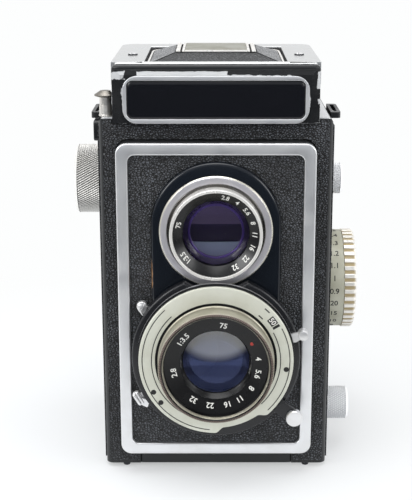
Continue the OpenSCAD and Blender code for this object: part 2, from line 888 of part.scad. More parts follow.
module hood_base() {
    color("#17181a") difference() {
        union() {
            rising([body_h, hood_rim_z]) difference() {
                round_rect([-hood_x, hood_x], [hood_y[0] - 6, hood_y[1]], 3);
                translate([-hood_x - 1, hood_y[0] - 8]) square([2 * hood_x + 2, 8]);
                translate([-hood_x + hood_wall_t, hood_inner_y[0]])
                    square([2 * (hood_x - hood_wall_t), hood_inner_y[1] - hood_inner_y[0]]);
            }
            rising([body_h, screen_z]) difference() {
                translate([-hood_x + 1, hood_y[0]]) square([2 * hood_x - 2, hood_inner_y[1] + 0.6]);
                translate([-well_x + 1, 4]) square([2 * well_x - 2, 52]);
            }
            intersection() {
                across([-hood_x, hood_x]) polygon([
                    [hood_y[0], hood_skirt_z], [hood_y[0], front_wall_top], [-0.6, front_wall_top],
                    [hood_front_y, nameplate_z[1] + 0.3], [hood_front_y, hood_skirt_z]
                ]);
                rising([hood_skirt_z, front_wall_top]) polygon([
                    [-hood_x, hood_y[0]], [-hood_x, -0.6], [-30.9, hood_front_y],
                    [30.9, hood_front_y], [hood_x, -0.6], [hood_x, hood_y[0]]
                ]);
                facing([hood_front_y - 1, hood_y[0] + 1]) {
                    round_rect([-hood_x, hood_x], [hood_skirt_z - 4, front_wall_top], 1.7);
                }
            }
            both_sides() {
                along_x([lid_knuckle_x + gap, lid_knuckle_end], lid_hinge, lid_knuckle_r);
                block(
                    [lid_knuckle_x + gap, lid_knuckle_end],
                    [0, lid_hinge[0]],
                    [lid_hinge[1] - lid_knuckle_r, lid_hinge[1]]
                );
            }
        }
        along_x([-hood_x, hood_x], lid_hinge, lid_pin_r + 0.04);
        both_sides() {
            along_y([-0.4, hood_y[0] + 2], side_hinge, leaf_pin_r + play);
            along_y([hood_inner_y[1] - 1, hood_inner_y[1] + 1.2], side_hinge, leaf_pin_r + play);
            along_x([hood_x - hood_wall_t - 1, hood_x - hood_wall_t + 1.3], back_hinge, leaf_pin_r + play);
        }
    }
}

module nameplate_rim() {
    color("#c2c3c4") facing([hood_front_y - 0.6, hood_front_y]) difference() {
        round_rect([-29.9, 29.9], nameplate_z, 4.5);
        round_rect([-28.9, 28.9], [nameplate_z[0] + 1.4, nameplate_z[1] - 1.5], 2);
    }
}

module nameplate() {
    color("#0a0a0b") facing([hood_front_y - 0.5, hood_front_y]) {
        round_rect([-28.8, 28.8], [nameplate_z[0] + 1.5, nameplate_z[1] - 1.6], 1.9);
    }
}

module focusing_screen() {
    color("#e3e6e4") block([-28.4, 28.4], [3.2, 56.8], [screen_z, screen_z + screen_t]);
}

module lid_plan(inset) {
    difference() {
        round_rect([-lid_x + inset, lid_x - inset], [-20, lid_y[1] - inset], 5 - inset);
        translate([-lid_x - 1, -22]) square([2 * lid_x + 2, 22 + lid_y[0] - 3 * inset]);
    }
}

module hood_lid() {
    color("#bfc0c1") difference() {
        union() {
            rising([hood_top - lid_t, hood_top]) lid_plan(0);
            rising([lid_flange_z, hood_top - lid_t]) difference() {
                lid_plan(0);
                lid_plan(lid_t);
            }
            block([-flap_x - 1, flap_x + 1], [4.2, flap_y[1] + 1], [flap_floor, hood_top - lid_t]);
            along_x([-lid_knuckle_x, lid_knuckle_x], lid_hinge, lid_knuckle_r);
            block([-lid_knuckle_x, lid_knuckle_x], [lid_hinge[0], 4.5], [hood_top - lid_t, hood_top - 0.1]);
        }
        block([-flap_x, flap_x], flap_y, [flap_seat, hood_top + 1]);
        along_x([-lid_knuckle_x - 1, lid_knuckle_x + 1], lid_hinge, lid_pin_r + 0.06);
    }
}

module lid_leatherette() {
    flap_top = hood_top + 0.9;
    edge_z = hood_top - 0.9;
    edge_x = flap_x - 1.5;
    edge_y = [flap_y[0] + 0.6, flap_y[1] - 0.6];
    color("#242528") intersection() {
        across([-edge_x, edge_x]) polygon([
            [edge_y[0], flap_seat], [edge_y[0], edge_z], [tab_y[0] - 0.2, flap_top],
            [tab_y[1] + 0.2, flap_top], [edge_y[1], edge_z], [edge_y[1], flap_seat]
        ]);
        facing(edge_y) polygon([
            [-edge_x, flap_seat], [-edge_x, edge_z], [-tab_x - 0.2, flap_top],
            [tab_x + 0.2, flap_top], [edge_x, edge_z], [edge_x, flap_seat]
        ]);
    }
}

module lid_tab() {
    color("#8d8c80") {
        rising([hood_top + 0.9, hood_top + 1.6]) round_rect([-tab_x, tab_x], tab_y, 1);
    }
}

module magnifier_frame() {
    color("#2a2b2d") difference() {
        block([-13, 13], [18, 44], [flap_floor - 2.3, flap_floor]);
        along_z([flap_floor - 3, flap_floor + 1], [0, 31], 10.5);
    }
}

module magnifier_lens() {
    color("#dfe6e8") translate([0, 31, flap_floor - 2.2]) rotate_extrude() {
        lens_profile(10.4, 0, 0.8, 1.3);
    }
}

// A leaf that lies flat on its hinge rod at X = 0, with its corners cut to clear the lid and the back leaf
module side_leaf() {
    rising([side_hinge[1] - leaf_t / 2, side_hinge[1] + leaf_t / 2]) polygon([
        [0, 4.6], [12.3, 4.6], [side_reach, 13.8], [side_reach, 35], [4, 54.2], [0, 54.2]
    ]);
    along_y([1.6, 56.4], [0, side_hinge[1]], leaf_rod_r);
    along_y([-0.2, hood_inner_y[1] + 1], [0, side_hinge[1]], leaf_pin_r);
}

module hood_left_panel() {
    color("#202124") translate([-side_hinge[0], 0, 0]) side_leaf();
}

module hood_right_panel() {
    color("#202124") translate([side_hinge[0], 0, 0]) mirror([1, 0, 0]) side_leaf();
}

module hood_back_panel() {
    color("#202124") {
        rising([back_hinge[1] - leaf_t / 2, back_hinge[1] + leaf_t / 2]) polygon([
            [-28, back_hinge[0]], [28, back_hinge[0]], [24, 27.6], [-24, 27.6]
        ]);
        along_x([-hood_x + hood_wall_t + gap, hood_x - hood_wall_t - gap], back_hinge, leaf_rod_r);
        along_x([-hood_x + 1.1, hood_x - 1.1], back_hinge, leaf_pin_r);
    }
}

// Back door

module door_panel() {
    floor_x = bottom_rail_x - gap;
    color("#1b1c1e") difference() {
        union() {
            facing([door_y, door_y + door_t]) round_rect([-shell_x, shell_x], [0, door_top], corner_r);
            block([-floor_x, floor_x], [front_wall_y + 0.4, door_y + 0.5], [0, door_t]);
            block([-lip_x, lip_x], [0.6, front_wall_y + 0.6], [0, lip_h]);
            along_x([-door_knuckle_x, door_knuckle_x], door_hinge, door_knuckle_r);
            block(
                [-door_knuckle_x, door_knuckle_x],
                [door_y, door_y + door_t],
                [door_top - 0.6, door_hinge[1]]
            );
        }
        along_x([-door_knuckle_x - 1, door_knuckle_x + 1], door_hinge, door_pin_r + 0.06);
        along_z([-1, door_t + 1], [0, bush_y], bush_r + play);
    }
}

module door_leatherette() {
    color("#26272a") facing([door_y + door_t, back_y]) {
        round_rect([-shell_x + 1.5, shell_x - 1.5], [3, door_top - 2.4], 2);
    }
}

module tripod_bush() {
    lip_r = bush_r + 2;
    lip_top = door_t + 0.8;
    thread_top = 3.8;
    cap_top = thread_top + 0.8;
    color("#aeb0b2") translate([0, bush_y, 0]) rotate_extrude() polygon([
        [tripod_r, bush_z], [bush_r, bush_z], [bush_r, door_t], [lip_r, door_t], [lip_r, lip_top],
        [bush_r, lip_top], [bush_r, cap_top], [0, cap_top], [0, thread_top], [tripod_r, thread_top]
    ]);
}

module lock_ring() {
    color("#b6b8ba") rising([bush_z, -0.1]) translate([0, bush_y]) difference() {
        union() {
            circle(r = 9.5);
            translate([-13, -2]) square([26, 4]);
        }
        circle(r = bush_r + 2 * play);
    }
}

module pressure_plate() {
    color("#1e1f21") block([-31, 31], [plate_y, plate_y + 0.8], [15, 74]);
}

module pressure_springs() {
    front = plate_y + 0.85;
    back = door_y - play;
    leaf = 0.25;
    color("#a4a5a7") both_sides() across([12, 20]) polygon([
        [back - leaf, 28], [back, 28], [front + leaf, 44], [front + leaf, 45], [back, 61],
        [back - leaf, 61], [front, 45.5], [front, 43.5]
    ]);
}

seat() body_shell();
seat() body_leatherette();
seat() shoulder_plate();
seat() feet();
seat() hood_base();
seat() nameplate_rim();
seat() nameplate();
seat() focusing_screen();
seat() reflex_mirror();
seat() chamber_casting();
seat() strap_lugs();
seat() counter_cover();
seat() bushes();
seat() release_spring();
seat() hinge_pins();
seat() film_roller_upper();
seat() film_roller_lower();
seat() lens_board();
seat() front_frame();
seat() board_leatherette();
seat() lens_panel();
seat() viewing_flange();
seat() viewing_barrel();
seat() viewing_name_ring();
seat() viewing_front_lens();
seat() shutter_case();
seat() face_plate();
seat() taking_bezel();
seat() taking_name_ring();
seat() taking_front_lens();
seat() taking_rear_lens();
seat() guide_rods();
seat() focus_rack();
seat() sync_lever();
seat() speed_lever();
seat() cocking_lever();
seat() aperture_lever();
seat() focus_dial();
seat() focus_grip();
seat() focus_shaft();
seat() wind_knob();
seat() wind_shaft();
seat() take_up_spool();
seat() upper_spool_knob();
seat() lower_spool_knob();
seat() release_button();
seat() hood_lid();
seat() lid_leatherette();
seat() lid_tab();
seat() magnifier_frame();
seat() magnifier_lens();
seat() hood_left_panel();
seat() hood_right_panel();
seat() hood_back_panel();
seat() door_panel();
seat() door_leatherette();
seat() tripod_bush();
seat() lock_ring();
seat() pressure_plate();
seat() pressure_springs();
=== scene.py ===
# %% [markdown]
# # A twin lens reflex camera
#
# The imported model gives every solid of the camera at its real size. This lesson dresses it: turned and
# knurled metal, pebbled leatherette, enamel, coated glass, engraved scales and wear. A piece whose solid is
# already right keeps that solid and gets a finish; a piece that needs more detail is worked out again here
# as a surface on a grid, and stands for its solid.

# %% Load the frame
import json

import bmesh
import bpy
import numpy as np
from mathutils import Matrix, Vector


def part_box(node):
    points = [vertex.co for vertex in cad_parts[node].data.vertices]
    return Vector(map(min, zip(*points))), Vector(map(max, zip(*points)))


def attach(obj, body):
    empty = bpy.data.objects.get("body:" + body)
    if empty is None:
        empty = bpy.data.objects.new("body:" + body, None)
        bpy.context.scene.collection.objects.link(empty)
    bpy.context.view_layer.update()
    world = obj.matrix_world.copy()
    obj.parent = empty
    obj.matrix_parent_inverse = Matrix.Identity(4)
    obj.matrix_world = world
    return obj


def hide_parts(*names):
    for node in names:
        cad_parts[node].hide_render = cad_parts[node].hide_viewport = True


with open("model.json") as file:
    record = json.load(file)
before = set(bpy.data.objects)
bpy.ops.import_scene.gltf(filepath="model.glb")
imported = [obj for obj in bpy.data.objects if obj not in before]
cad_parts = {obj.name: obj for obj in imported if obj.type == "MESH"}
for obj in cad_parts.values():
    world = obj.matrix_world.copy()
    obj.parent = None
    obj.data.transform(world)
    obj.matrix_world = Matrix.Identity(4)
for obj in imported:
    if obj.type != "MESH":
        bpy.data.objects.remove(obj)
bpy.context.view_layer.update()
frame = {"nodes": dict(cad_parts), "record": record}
nodes = frame["nodes"]
rides = {name: body for body, names in frame["record"]["behaviour"]["bodies"].items() for name in names}

# %% [markdown]
# ## Measures
#
# Everything below is worked out in millimetres, in the frame's own axes: X to the right seen from in front,
# Y from the lenses to the back, Z up. The places come from the boxes of the solids, so a piece always sits
# where its solid sits. Depths of the lens pieces are counted forwards from the front face of the body.

# %% Boxes of the solids in millimetres
MM = 1000.0


def span(name):
    """Lowest and highest corner of a solid, in millimetres."""
    return np.array(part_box(name)) * MM


def size(name):
    """Width, depth and height of a solid's box, in millimetres."""
    low, high = span(name)
    return high - low


def middle(name):
    """Middle of a solid's box, in millimetres."""
    return span(name).mean(0)


def reach(name):
    """How far a solid's back and front faces lie in front of the body, in millimetres."""
    low, high = span(name)
    return front - high[1], front - low[1]


front = span("body_leatherette")[0][1]
taking = np.array([0, front, middle("taking_bezel")[2]])
viewing = np.array([0, front, middle("viewing_flange")[2]])
print("front face at y", front, "lens axes at z", taking[2], viewing[2])

# %% [markdown]
# ## Camera
#
# The photograph looks straight at the camera's front from a little above, with a long lens. Its distance,
# height and tilt were found from the vanishing points and from the lens circles. The picture is 500 pixels
# tall, and its optical axis passes a few pixels beside the middle, which the small shift follows.

# %% Camera
PHOTO_TALL = 500
FOCAL_PIXELS = 1217
TILT_DOWN = 15.5
SENSOR = 36.0
EYE = np.array([0, -416.85, 188.3])
AXIS_PIXELS_RIGHT = 10

lens = bpy.data.cameras.new("photo_camera")
lens.sensor_fit = "VERTICAL"
lens.sensor_height = SENSOR
lens.lens = SENSOR * FOCAL_PIXELS / PHOTO_TALL
lens.shift_x = -AXIS_PIXELS_RIGHT / PHOTO_TALL
lens.clip_start = 0.01
eye = bpy.data.objects.new("photo_camera", lens)
eye.location = EYE / MM
eye.rotation_euler = (np.radians(90 - TILT_DOWN), 0, 0)
scene = bpy.context.scene
scene.collection.objects.link(eye)
scene.camera = eye
scene.view_settings.view_transform = "Standard"
print("focal length", round(lens.lens, 1), "mm")

# %% [markdown]
# ## Adding nodes
#
# Materials, the floor and the world are all node trees. One small function adds a node, sets its own
# fields, and fills each input with a value or with a link from another node. The five after it name the
# kinds that come up most. Colours are written as the hex values that a picture shows, and one function
# turns them to the linear light that the shaders count in.

# %% Node and colour helpers


def source(value):
    """The output that a value links from: a node's first one in use, or in a pair the one named."""
    if isinstance(value, bpy.types.Node):
        return next(output for output in value.outputs if output.enabled)
    if isinstance(value, tuple) and isinstance(value[0], bpy.types.Node):
        return value[0].outputs[value[1]]
    return None


def node(tree, kind, sockets=None, **fields):
    """Adds one node; a socket takes a plain value, a node, or a pair of node and output."""
    made = tree.nodes.new("ShaderNode" + kind)
    for field, value in fields.items():
        setattr(made, field, value)
    for key, value in (sockets or {}).items():
        output = source(value)
        if output is None:
            made.inputs[key].default_value = value
        else:
            tree.links.new(output, made.inputs[key])
    return made


def noise(tree, place, width, detail=2.0):
    """Noise in the object's own space, with lumps about that many millimetres wide."""
    return node(tree, "TexNoise", {"Vector": (place, "Object"), "Scale": MM / width, "Detail": detail})


def remap(tree, value, start, end, low=0.0, high=1.0, curve="LINEAR"):
    """Carries a value from the range start to end over to low to high, and holds it at both ends."""
    return node(tree, "MapRange", {0: value, 1: start, 2: end, 3: low, 4: high}, interpolation_type=curve)


def number(tree, operation, *values):
    """One operation on plain numbers or nodes."""
    return node(tree, "Math", dict(enumerate(values)), operation=operation)


def vector(tree, operation, *values):
    """One operation on plain vectors or nodes."""
    return node(tree, "VectorMath", dict(enumerate(values)), operation=operation)


def blend(tree, share, first, second, kind="MIX"):
    """A colour between the first and the second, by that share of the second."""
    return node(tree, "Mix", {"Factor": share, "A": first, "B": second}, data_type="RGBA", blend_type=kind)


def ink(code):
    """Linear colour of an sRGB hex value: below 0.04045 a straight line, above it a power of 2.4."""
    srgb = np.array([int(code[i:i + 2], 16) for i in (1, 3, 5)]) / 255
    linear = np.where(srgb <= 0.04045, srgb / 12.92, ((srgb + 0.055) / 1.055) ** 2.4)
    return (*linear.tolist(), 1.0)


def blank(name):
    """A new material of that name, its node tree, and in it the node that gives a point's place."""
    made = bpy.data.materials.new(name)
    made.use_nodes = True
    made.node_tree.nodes.clear()
    return made, made.node_tree, node(made.node_tree, "TexCoord")


def surface(tree, sockets):
    """Closes a material: one Principled shader with those sockets, joined to the output."""
    node(tree, "OutputMaterial", {"Surface": node(tree, "BsdfPrincipled", sockets)})


# %% [markdown]
# ## Floor, world and lamps
#
# The camera stands on a wide sheet of white paper. Near the camera the paper keeps its shading, so the soft
# shadow stays; further away it glows white by itself, as an overexposed backdrop does. A dark card lies in
# front, outside every picture: glossy enamel and glass look that way and show it as a dark band between the
# white table and the bright room. It is drawn in the paper's own shader, for reflected rays alone.

# %% Floor
FLOOR_HALF = 6.0
PAPER = ink("#dcdddf")
WHITE = ink("#fdfefe")
GLOW_NEAR, GLOW_FAR = 0.43, 1.0
GLOW_REACH = (0.06, 0.2)
# The glow is centred a little left of and behind the camera, so the paper glows brighter on the right:
# painted light that thins the shadow there.
GLOW_FROM = (-0.045, 0.015, 0)
CARD = ink("#34363a")
BEYOND = ink("#c4c8cd")
TABLE_END, TABLE_SOFT = -0.19, 0.002
CARD_END, CARD_SOFT = -1.3, 0.1

sheet = bpy.data.meshes.new("paper_floor")
corners = np.array([[-1, -1, 0], [1, -1, 0], [1, 1, 0], [-1, 1, 0]]) * FLOOR_HALF
sheet.from_pydata(corners.tolist(), [], [[0, 1, 2, 3]])
floor = bpy.data.objects.new("paper_floor", sheet)
scene.collection.objects.link(floor)

paper, tree, place = blank("white_paper")
axes = node(tree, "SeparateXYZ", {0: (place, "Object")})
away = vector(tree, "LENGTH", vector(tree, "SUBTRACT", (place, "Object"), GLOW_FROM))
glow_share = remap(tree, away, *GLOW_REACH, GLOW_NEAR, GLOW_FAR, "SMOOTHSTEP")
on_table = remap(tree, (axes, "Y"), TABLE_END - TABLE_SOFT, TABLE_END + TABLE_SOFT)
on_card = remap(tree, (axes, "Y"), CARD_END - CARD_SOFT, CARD_END + CARD_SOFT)
ray = node(tree, "LightPath")
mirrored = number(tree, "MAXIMUM", (ray, "Is Glossy Ray"), (ray, "Is Transmission Ray"))
seen = number(tree, "MAXIMUM", (ray, "Is Camera Ray"), mirrored)
share = number(tree, "MULTIPLY", seen, glow_share)
reflected = blend(tree, on_table, blend(tree, on_card, BEYOND, CARD), WHITE)
tint = blend(tree, mirrored, WHITE, reflected)
matt = node(tree, "BsdfDiffuse", {"Color": blend(tree, 1.0, PAPER, tint, "MULTIPLY")})
glow = node(tree, "Emission", {"Color": tint, "Strength": 1.0})
both = node(tree, "MixShader", {0: share, 1: matt, 2: glow})
node(tree, "OutputMaterial", {"Surface": both})
sheet.materials.append(paper)
print("floor", 2 * FLOOR_HALF, "m wide")

# %% World
ROOM = ink("#f4f5f6")
FRONT_WALL = ink("#c3c6ca")
WALL_FROM, WALL_FULL = 0.1, -0.6
ROOM_LIGHT = 0.92

world = bpy.data.worlds.new("studio_room")
world.use_nodes = True
scene.world = world
tree = world.node_tree
tree.nodes.clear()
axes = node(tree, "SeparateXYZ", {0: (node(tree, "TexCoord"), "Generated")})
ahead = remap(tree, (axes, "Y"), WALL_FROM, WALL_FULL, curve="SMOOTHSTEP")
light = node(tree, "Background", {"Color": blend(tree, ahead, ROOM, FRONT_WALL), "Strength": ROOM_LIGHT})
node(tree, "OutputWorld", {"Surface": light})
print("world made")

# %% Lamps
SOFTBOXES = {
    "top_softbox": ([-100, -150, 1100], 900, 9.0),
    "left_softbox": ([-900, -700, 650], 600, 8.0),
    "right_softbox": ([950, -650, 550], 600, 5.6),
}
AIM = Vector((0, 0, 0.075))


def softbox(name, spot, width, watts):
    """A square area lamp of that width, turned so that it shines at the middle of the camera."""
    lamp = bpy.data.lights.new(name, "AREA")
    lamp.size = width / MM
    lamp.energy = watts
    made = bpy.data.objects.new(name, lamp)
    made.location = np.array(spot) / MM
    made.rotation_euler = (made.location - AIM).to_track_quat("Z", "Y").to_euler()
    scene.collection.objects.link(made)


for name, (spot, width, watts) in SOFTBOXES.items():
    softbox(name, spot, width, watts)
print("lamps", list(SOFTBOXES))

# %% [markdown]
# ## Leatherette
#
# The covering is cloth coated with black lacquer and pressed with a pebble grain under a millimetre wide.
# The pebbles could be modelled, but there are tens of thousands; here rounded cells in the material push
# the normal about. The hollows between them are painted darker and duller than the tops: partly painted
# shade, which soft light draws too little of from the bump alone, and partly the worn gloss of the tops.

# %% Leatherette
PEBBLE = 0.8
PEBBLE_DEEP = 0.28
PEBBLE_LONG = (0.9, 1.0, 1.1)
PEBBLE_EDGE, PEBBLE_TOP = 0.05, 0.3
DRIFT, DRIFT_WIDE = 1.1, 1.8
RUB_WIDE = 14
DULL, RUBBED = 0.55, 0.26


def leather(name, hollow, top):
    """Pressed cloth: cells one pebble wide, their middles raised, their borders sunk and painted darker and
    duller, partly as painted shade.
    """
    made, tree, place = blank(name)
    drift = noise(tree, place, DRIFT_WIDE)
    moved = vector(tree, "MULTIPLY", (drift, "Color"), (PEBBLE / MM * DRIFT,) * 3)
    drawn = vector(tree, "MULTIPLY", (place, "Object"), PEBBLE_LONG)
    cell_sockets = {"Vector": vector(tree, "ADD", drawn, moved), "Scale": MM / PEBBLE}
    cells = node(tree, "TexVoronoi", cell_sockets, feature="DISTANCE_TO_EDGE")
    tops = remap(tree, cells, PEBBLE_EDGE, PEBBLE_TOP, curve="SMOOTHSTEP")
    pressed = node(tree, "Bump", {"Strength": 1.0, "Distance": PEBBLE_DEEP / MM, "Height": tops})
    rub = remap(tree, noise(tree, place, RUB_WIDE, 4.0), 0.35, 0.7, 0.5, 1.0)
    raised = number(tree, "MULTIPLY", tops, rub)
    colour = blend(tree, raised, ink(hollow), ink(top))
    gloss = remap(tree, raised, 0, 1, DULL, RUBBED)
    surface(tree, {"Base Color": colour, "Roughness": gloss, "Normal": pressed})
    return made


# The hollow colour is far darker than the top: partly painted shade, since soft light draws little from the
# bump, and partly the worn gloss of the tops.
leatherette = leather("pebbled_leatherette", "#010102", "#585b60")
# A much lighter copy for the sides of the lid's flap: a painted sheen where they tilt to the light.
sheen_lit_leather = leather("painted_sheen_leatherette", "#5e5f61", "#b4b5b7")
print("leatherette made")

# %% [markdown]
# ## Paints
#
# The die-cast body and the hood are stoved black enamel, the lens panel and the nameplate glossier lacquer,
# and the lens mounts dull black. Handling rubs the paint through on edges: there, the normal of a slightly
# rounded shape leaves the normal of the face, and where the two differ, in broken spots, bare metal shows.
# Where larger flakes came off, a box with a ragged border marks the spot.

# %% Paint with worn edges
EDGE = 0.45
EDGE_FLAT, EDGE_SHARP = 0.995, 0.86
RUB_FROM, RUB_TO = 0.34, 0.46
CLOUD_WIDE, SKIN_WIDE, SPOT_WIDE, TEAR_WIDE = 9, 0.7, 3.5, 2.2
CHIP_SOFT = 0.07


def flaked(tree, place, low, high, ragged):
    """Where paint has flaked off: a box from low to high, its border moved in and out by noise, in mm."""
    centre, half = (np.array(low) + high) / 2 / MM, (np.array(high) - low) / 2 / MM
    folded = vector(tree, "ABSOLUTE", vector(tree, "SUBTRACT", (place, "Object"), tuple(centre)))
    side = node(tree, "SeparateXYZ", {0: vector(tree, "SUBTRACT", folded, tuple(half))})
    far = number(tree, "MAXIMUM", number(tree, "MAXIMUM", (side, 0), (side, 2)), (side, 1))
    torn = noise(tree, place, TEAR_WIDE, 5.0)
    border = number(tree, "ADD", remap(tree, torn, 0.3, 0.7, -ragged / MM, ragged / MM), far)
    return remap(tree, border, CHIP_SOFT / MM, -CHIP_SOFT / MM)


def paint(name, colour, roughness, level=0.5, edge_wear=0.0, chips=(), bare="#c9cacb"):
    """Enamel with clouds in its gloss; edge_wear is the share of the edges rubbed bare, chips are boxes."""
    made, tree, place = blank(name)
    gloss = remap(tree, noise(tree, place, CLOUD_WIDE, 6.0), 0.3, 0.7, roughness * 0.8, roughness * 1.25)
    peel = noise(tree, place, SKIN_WIDE)
    skin = node(tree, "Bump", {"Strength": 0.05, "Distance": 0.02 / MM, "Height": peel})
    sockets = {"Base Color": ink(colour), "Specular IOR Level": level, "Roughness": gloss, "Normal": skin}
    if edge_wear:
        rounded = node(tree, "Bevel", {"Radius": EDGE / MM}, samples=6)
        own = node(tree, "NewGeometry")
        alike = vector(tree, "DOT_PRODUCT", rounded, (own, "True Normal"))
        turn = remap(tree, alike, EDGE_FLAT, EDGE_SHARP)
        lean = number(tree, "ADD", noise(tree, place, SPOT_WIDE, 5.0), edge_wear - 0.5)
        gone = remap(tree, number(tree, "MULTIPLY", turn, lean), RUB_FROM, RUB_TO)
        for low, high, ragged in chips:
            gone = number(tree, "MAXIMUM", gone, flaked(tree, place, low, high, ragged))
        coat = blend(tree, gone, ink(colour), ink(bare))
        dulled = number(tree, "MULTIPLY_ADD", gone, 0.2, gloss)
        metallic = number(tree, "MULTIPLY", gone, 0.6)
        sockets |= {"Base Color": coat, "Metallic": metallic, "Roughness": dulled}
    surface(tree, sockets)
    return made


# %% Paints
rim_low, rim_high = span("nameplate_rim")
hood_low, hood_high = span("hood_base")
wall_y = hood_low[1]
# Left, right, foot, top, depth and raggedness of each chip, its height from the rim's upper or lower edge
UPPER_CHIPS = [
    (-25.6, 3.6, -0.6, 1.35, 3, 0.12),
    (3.0, 25.0, -0.6, 0.3, 3, 0.5),
    (-34.2, -29.6, -0.7, 1.3, 5, 0.75),
    (32.6, 34.2, -4.4, 1.4, 3, 0.35),
    (32.9, 34.2, -9.4, -7.6, 3, 0.35),
]
LOWER_CHIPS = [
    (29.4, 30.35, 5.5, 9.5, 2, 0.5),
    (-30.4, -29.4, 6.0, 11.5, 2, 0.5),
    (-22.0, -17.5, -0.4, 0.3, 2, 0.3),
]


def chip_box(level, left, right, foot, top, deep, ragged):
    """Low and high corner of a chip in the hood's front wall, and how ragged it is."""
    return [left, wall_y - 1, level + foot], [right, wall_y + deep, level + top], ragged


hood_chips = [chip_box(rim_high[2], *row) for row in UPPER_CHIPS]
hood_chips += [chip_box(rim_low[2], *row) for row in LOWER_CHIPS]
panel_rub = [([-22.4, front - 12, viewing[2] - 19.5], [-20.95, front, viewing[2] - 9.5], 0.25)]
body_enamel = paint("black_stoving_enamel", "#17191b", 0.34, edge_wear=0.28)
hood_enamel = paint("chipped_hood_enamel", "#131416", 0.26, 0.5, 0.42, hood_chips)
gloss_lacquer = paint("black_gloss_lacquer", "#13171d", 0.13, 0.4, 0.12, panel_rub, "#a9805c")
plate_lacquer = paint("nameplate_lacquer", "#111216", 0.07, 0.4)
mount_black = paint("black_ring_enamel", "#08080a", 0.26, 0.4)
case_black = paint("black_anodised_case", "#17181b", 0.24, 0.45, 0.15)
# Matt black for the chamber inside, and also as painted shade in gaps, seams, creases and the ring at the
# bezel's foot.
black_paint_and_shade = paint("matt_black_chamber_paint_and_shade", "#0c0c0d", 0.8, 0.2)
print("paints made")

# %% [markdown]
# ## Metals
#
# Satin aluminium, polished lid, plated brass and steel differ in colour and gloss. Each gets cloudy smudges
# that change its gloss, fine scuffs, a faint tarnish, and, where a surface is knurled, grime in its grooves.
# How deep a point lies in a groove is a number that the mesh carries for each of its points.

# %% Metals
SMUDGE_WIDE, SCUFF_WIDE = 7, 0.5
TARNISH_RGB = np.array([2.0, 2.1, 2.5, 0])
GRIME_DULL = 0.35


def metal(name, colour, roughness, metallic=1.0, tarnish=0.12, grime=None, smudge=0.07):
    """Metal with smudges in its gloss, a faint tarnish and, if grime is a colour, dirt in its grooves."""
    made, tree, place = blank(name)
    cloud = noise(tree, place, SMUDGE_WIDE, 6.0)
    gloss = remap(tree, cloud, 0.3, 0.7, roughness - smudge, roughness + smudge)
    scuff = noise(tree, place, SCUFF_WIDE, 3.0)
    skin = node(tree, "Bump", {"Strength": 0.08, "Distance": 0.01 / MM, "Height": scuff})
    dull = np.array(ink(colour)) * (1 - TARNISH_RGB * tarnish)
    base = blend(tree, remap(tree, cloud, 0.42, 0.72), ink(colour), tuple(dull))
    if grime:
        groove = node(tree, "Attribute", attribute_name="groove")
        base = blend(tree, (groove, "Fac"), base, ink(grime))
        gloss = number(tree, "MULTIPLY_ADD", (groove, "Fac"), GRIME_DULL, gloss)
    surface(tree, {"Base Color": base, "Metallic": metallic, "Roughness": gloss, "Normal": skin})
    return made


satin_aluminium = metal("satin_aluminium", "#eaebed", 0.37, 0.86, 0.03)
polished_lid = metal("polished_aluminium", "#e6e7e7", 0.3, 1.0, 0.04, smudge=0.05)
satin_nickel = metal("satin_nickel_flange", "#d3d1d7", 0.38, 0.75, 0.05)
plated_brass = metal("nickel_plated_brass", "#d8d5ca", 0.26, 0.8, 0.06)
white_plate = metal("white_plated_rim", "#e2e0dc", 0.3, 0.45, 0.04)
aged_bezel = metal("aged_plated_bezel", "#aeaa9b", 0.36, 0.6)
barrel_metal = metal("dark_polished_barrel", "#6c6a68", 0.22)
copper_teeth = metal("copper_toothed_ring", "#776861", 0.42, 0.3, grime="#231d1a")
knurled_nickel = metal("knurled_nickel", "#f6f5f2", 0.34, 0.65, 0.05, "#4a4741")
bright_knurl = metal("bright_spool_knurl", "#fbfbfc", 0.36, 0.2, 0.02, "#bcbec0")
ribbed_nickel = metal("ribbed_nickel_on_brass", "#f7f4ee", 0.32, 0.5, 0.06, "#bfaf8c")
frosted_plate = metal("frosted_nickel_plate", "#d0d1c5", 0.5, 0.4, 0.05)
dial_cream = metal("cream_dial_lacquer", "#bdbcab", 0.45, 0.1, 0.1)
bare_emblem = metal("dulled_brass_emblem", "#96958a", 0.42, 0.6)
bright_steel = metal("bright_steel", "#e9e9ea", 0.32, 0.8, 0.05)
release_nickel = metal("worn_release_nickel", "#dcd9d4", 0.34, 0.85, 0.1)
release_cap = metal("dulled_release_cap", "#8f8b85", 0.42)
spring_steel = metal("blued_spring_steel", "#8b8d92", 0.28)
# Dark cast alloy for the feet, and as painted shade for the sides of the lid screws.
dark_alloy_and_shade = metal("dark_cast_alloy_and_painted_shade", "#3b3c40", 0.5, 0.8)
mirror_silver = metal("front_silvered_mirror", "#eceef0", 0.03, smudge=0.015)
# A violet metal for the ring behind the viewing lens: a painted highlight for the bright violet arcs seen in
# the glass.
violet_highlight_paint = metal("painted_violet_highlight", "#5a459c", 0.3, 0.4)
print("metals made")

# %% [markdown]
# ## Glass, lacquer and marks
#
# The lenses are coated glass: clear inside, with a violet or blue reflection. The shader's specular tint
# colours only what the surface mirrors, as a coating does. The focusing screen is the same glass ground
# dull. Scales are painted lines and figures.

# %% Glass and plain finishes
DUST_WIDE, DUST_DULL = 1.2, 0.12


def glass(name, roughness, index, tint="#ffffff", level=0.5):
    """Clear glass of that refractive index, whose reflections take the coating's tint."""
    made, tree, place = blank(name)
    dust = noise(tree, place, DUST_WIDE, 8.0)
    film = remap(tree, dust, 0.66, 0.75, roughness, roughness + DUST_DULL)
    surface(tree, {"Base Color": (1, 1, 1, 1), "Roughness": film, "IOR": index, "Transmission Weight": 1.0,
                   "Specular Tint": ink(tint), "Specular IOR Level": level})
    return made


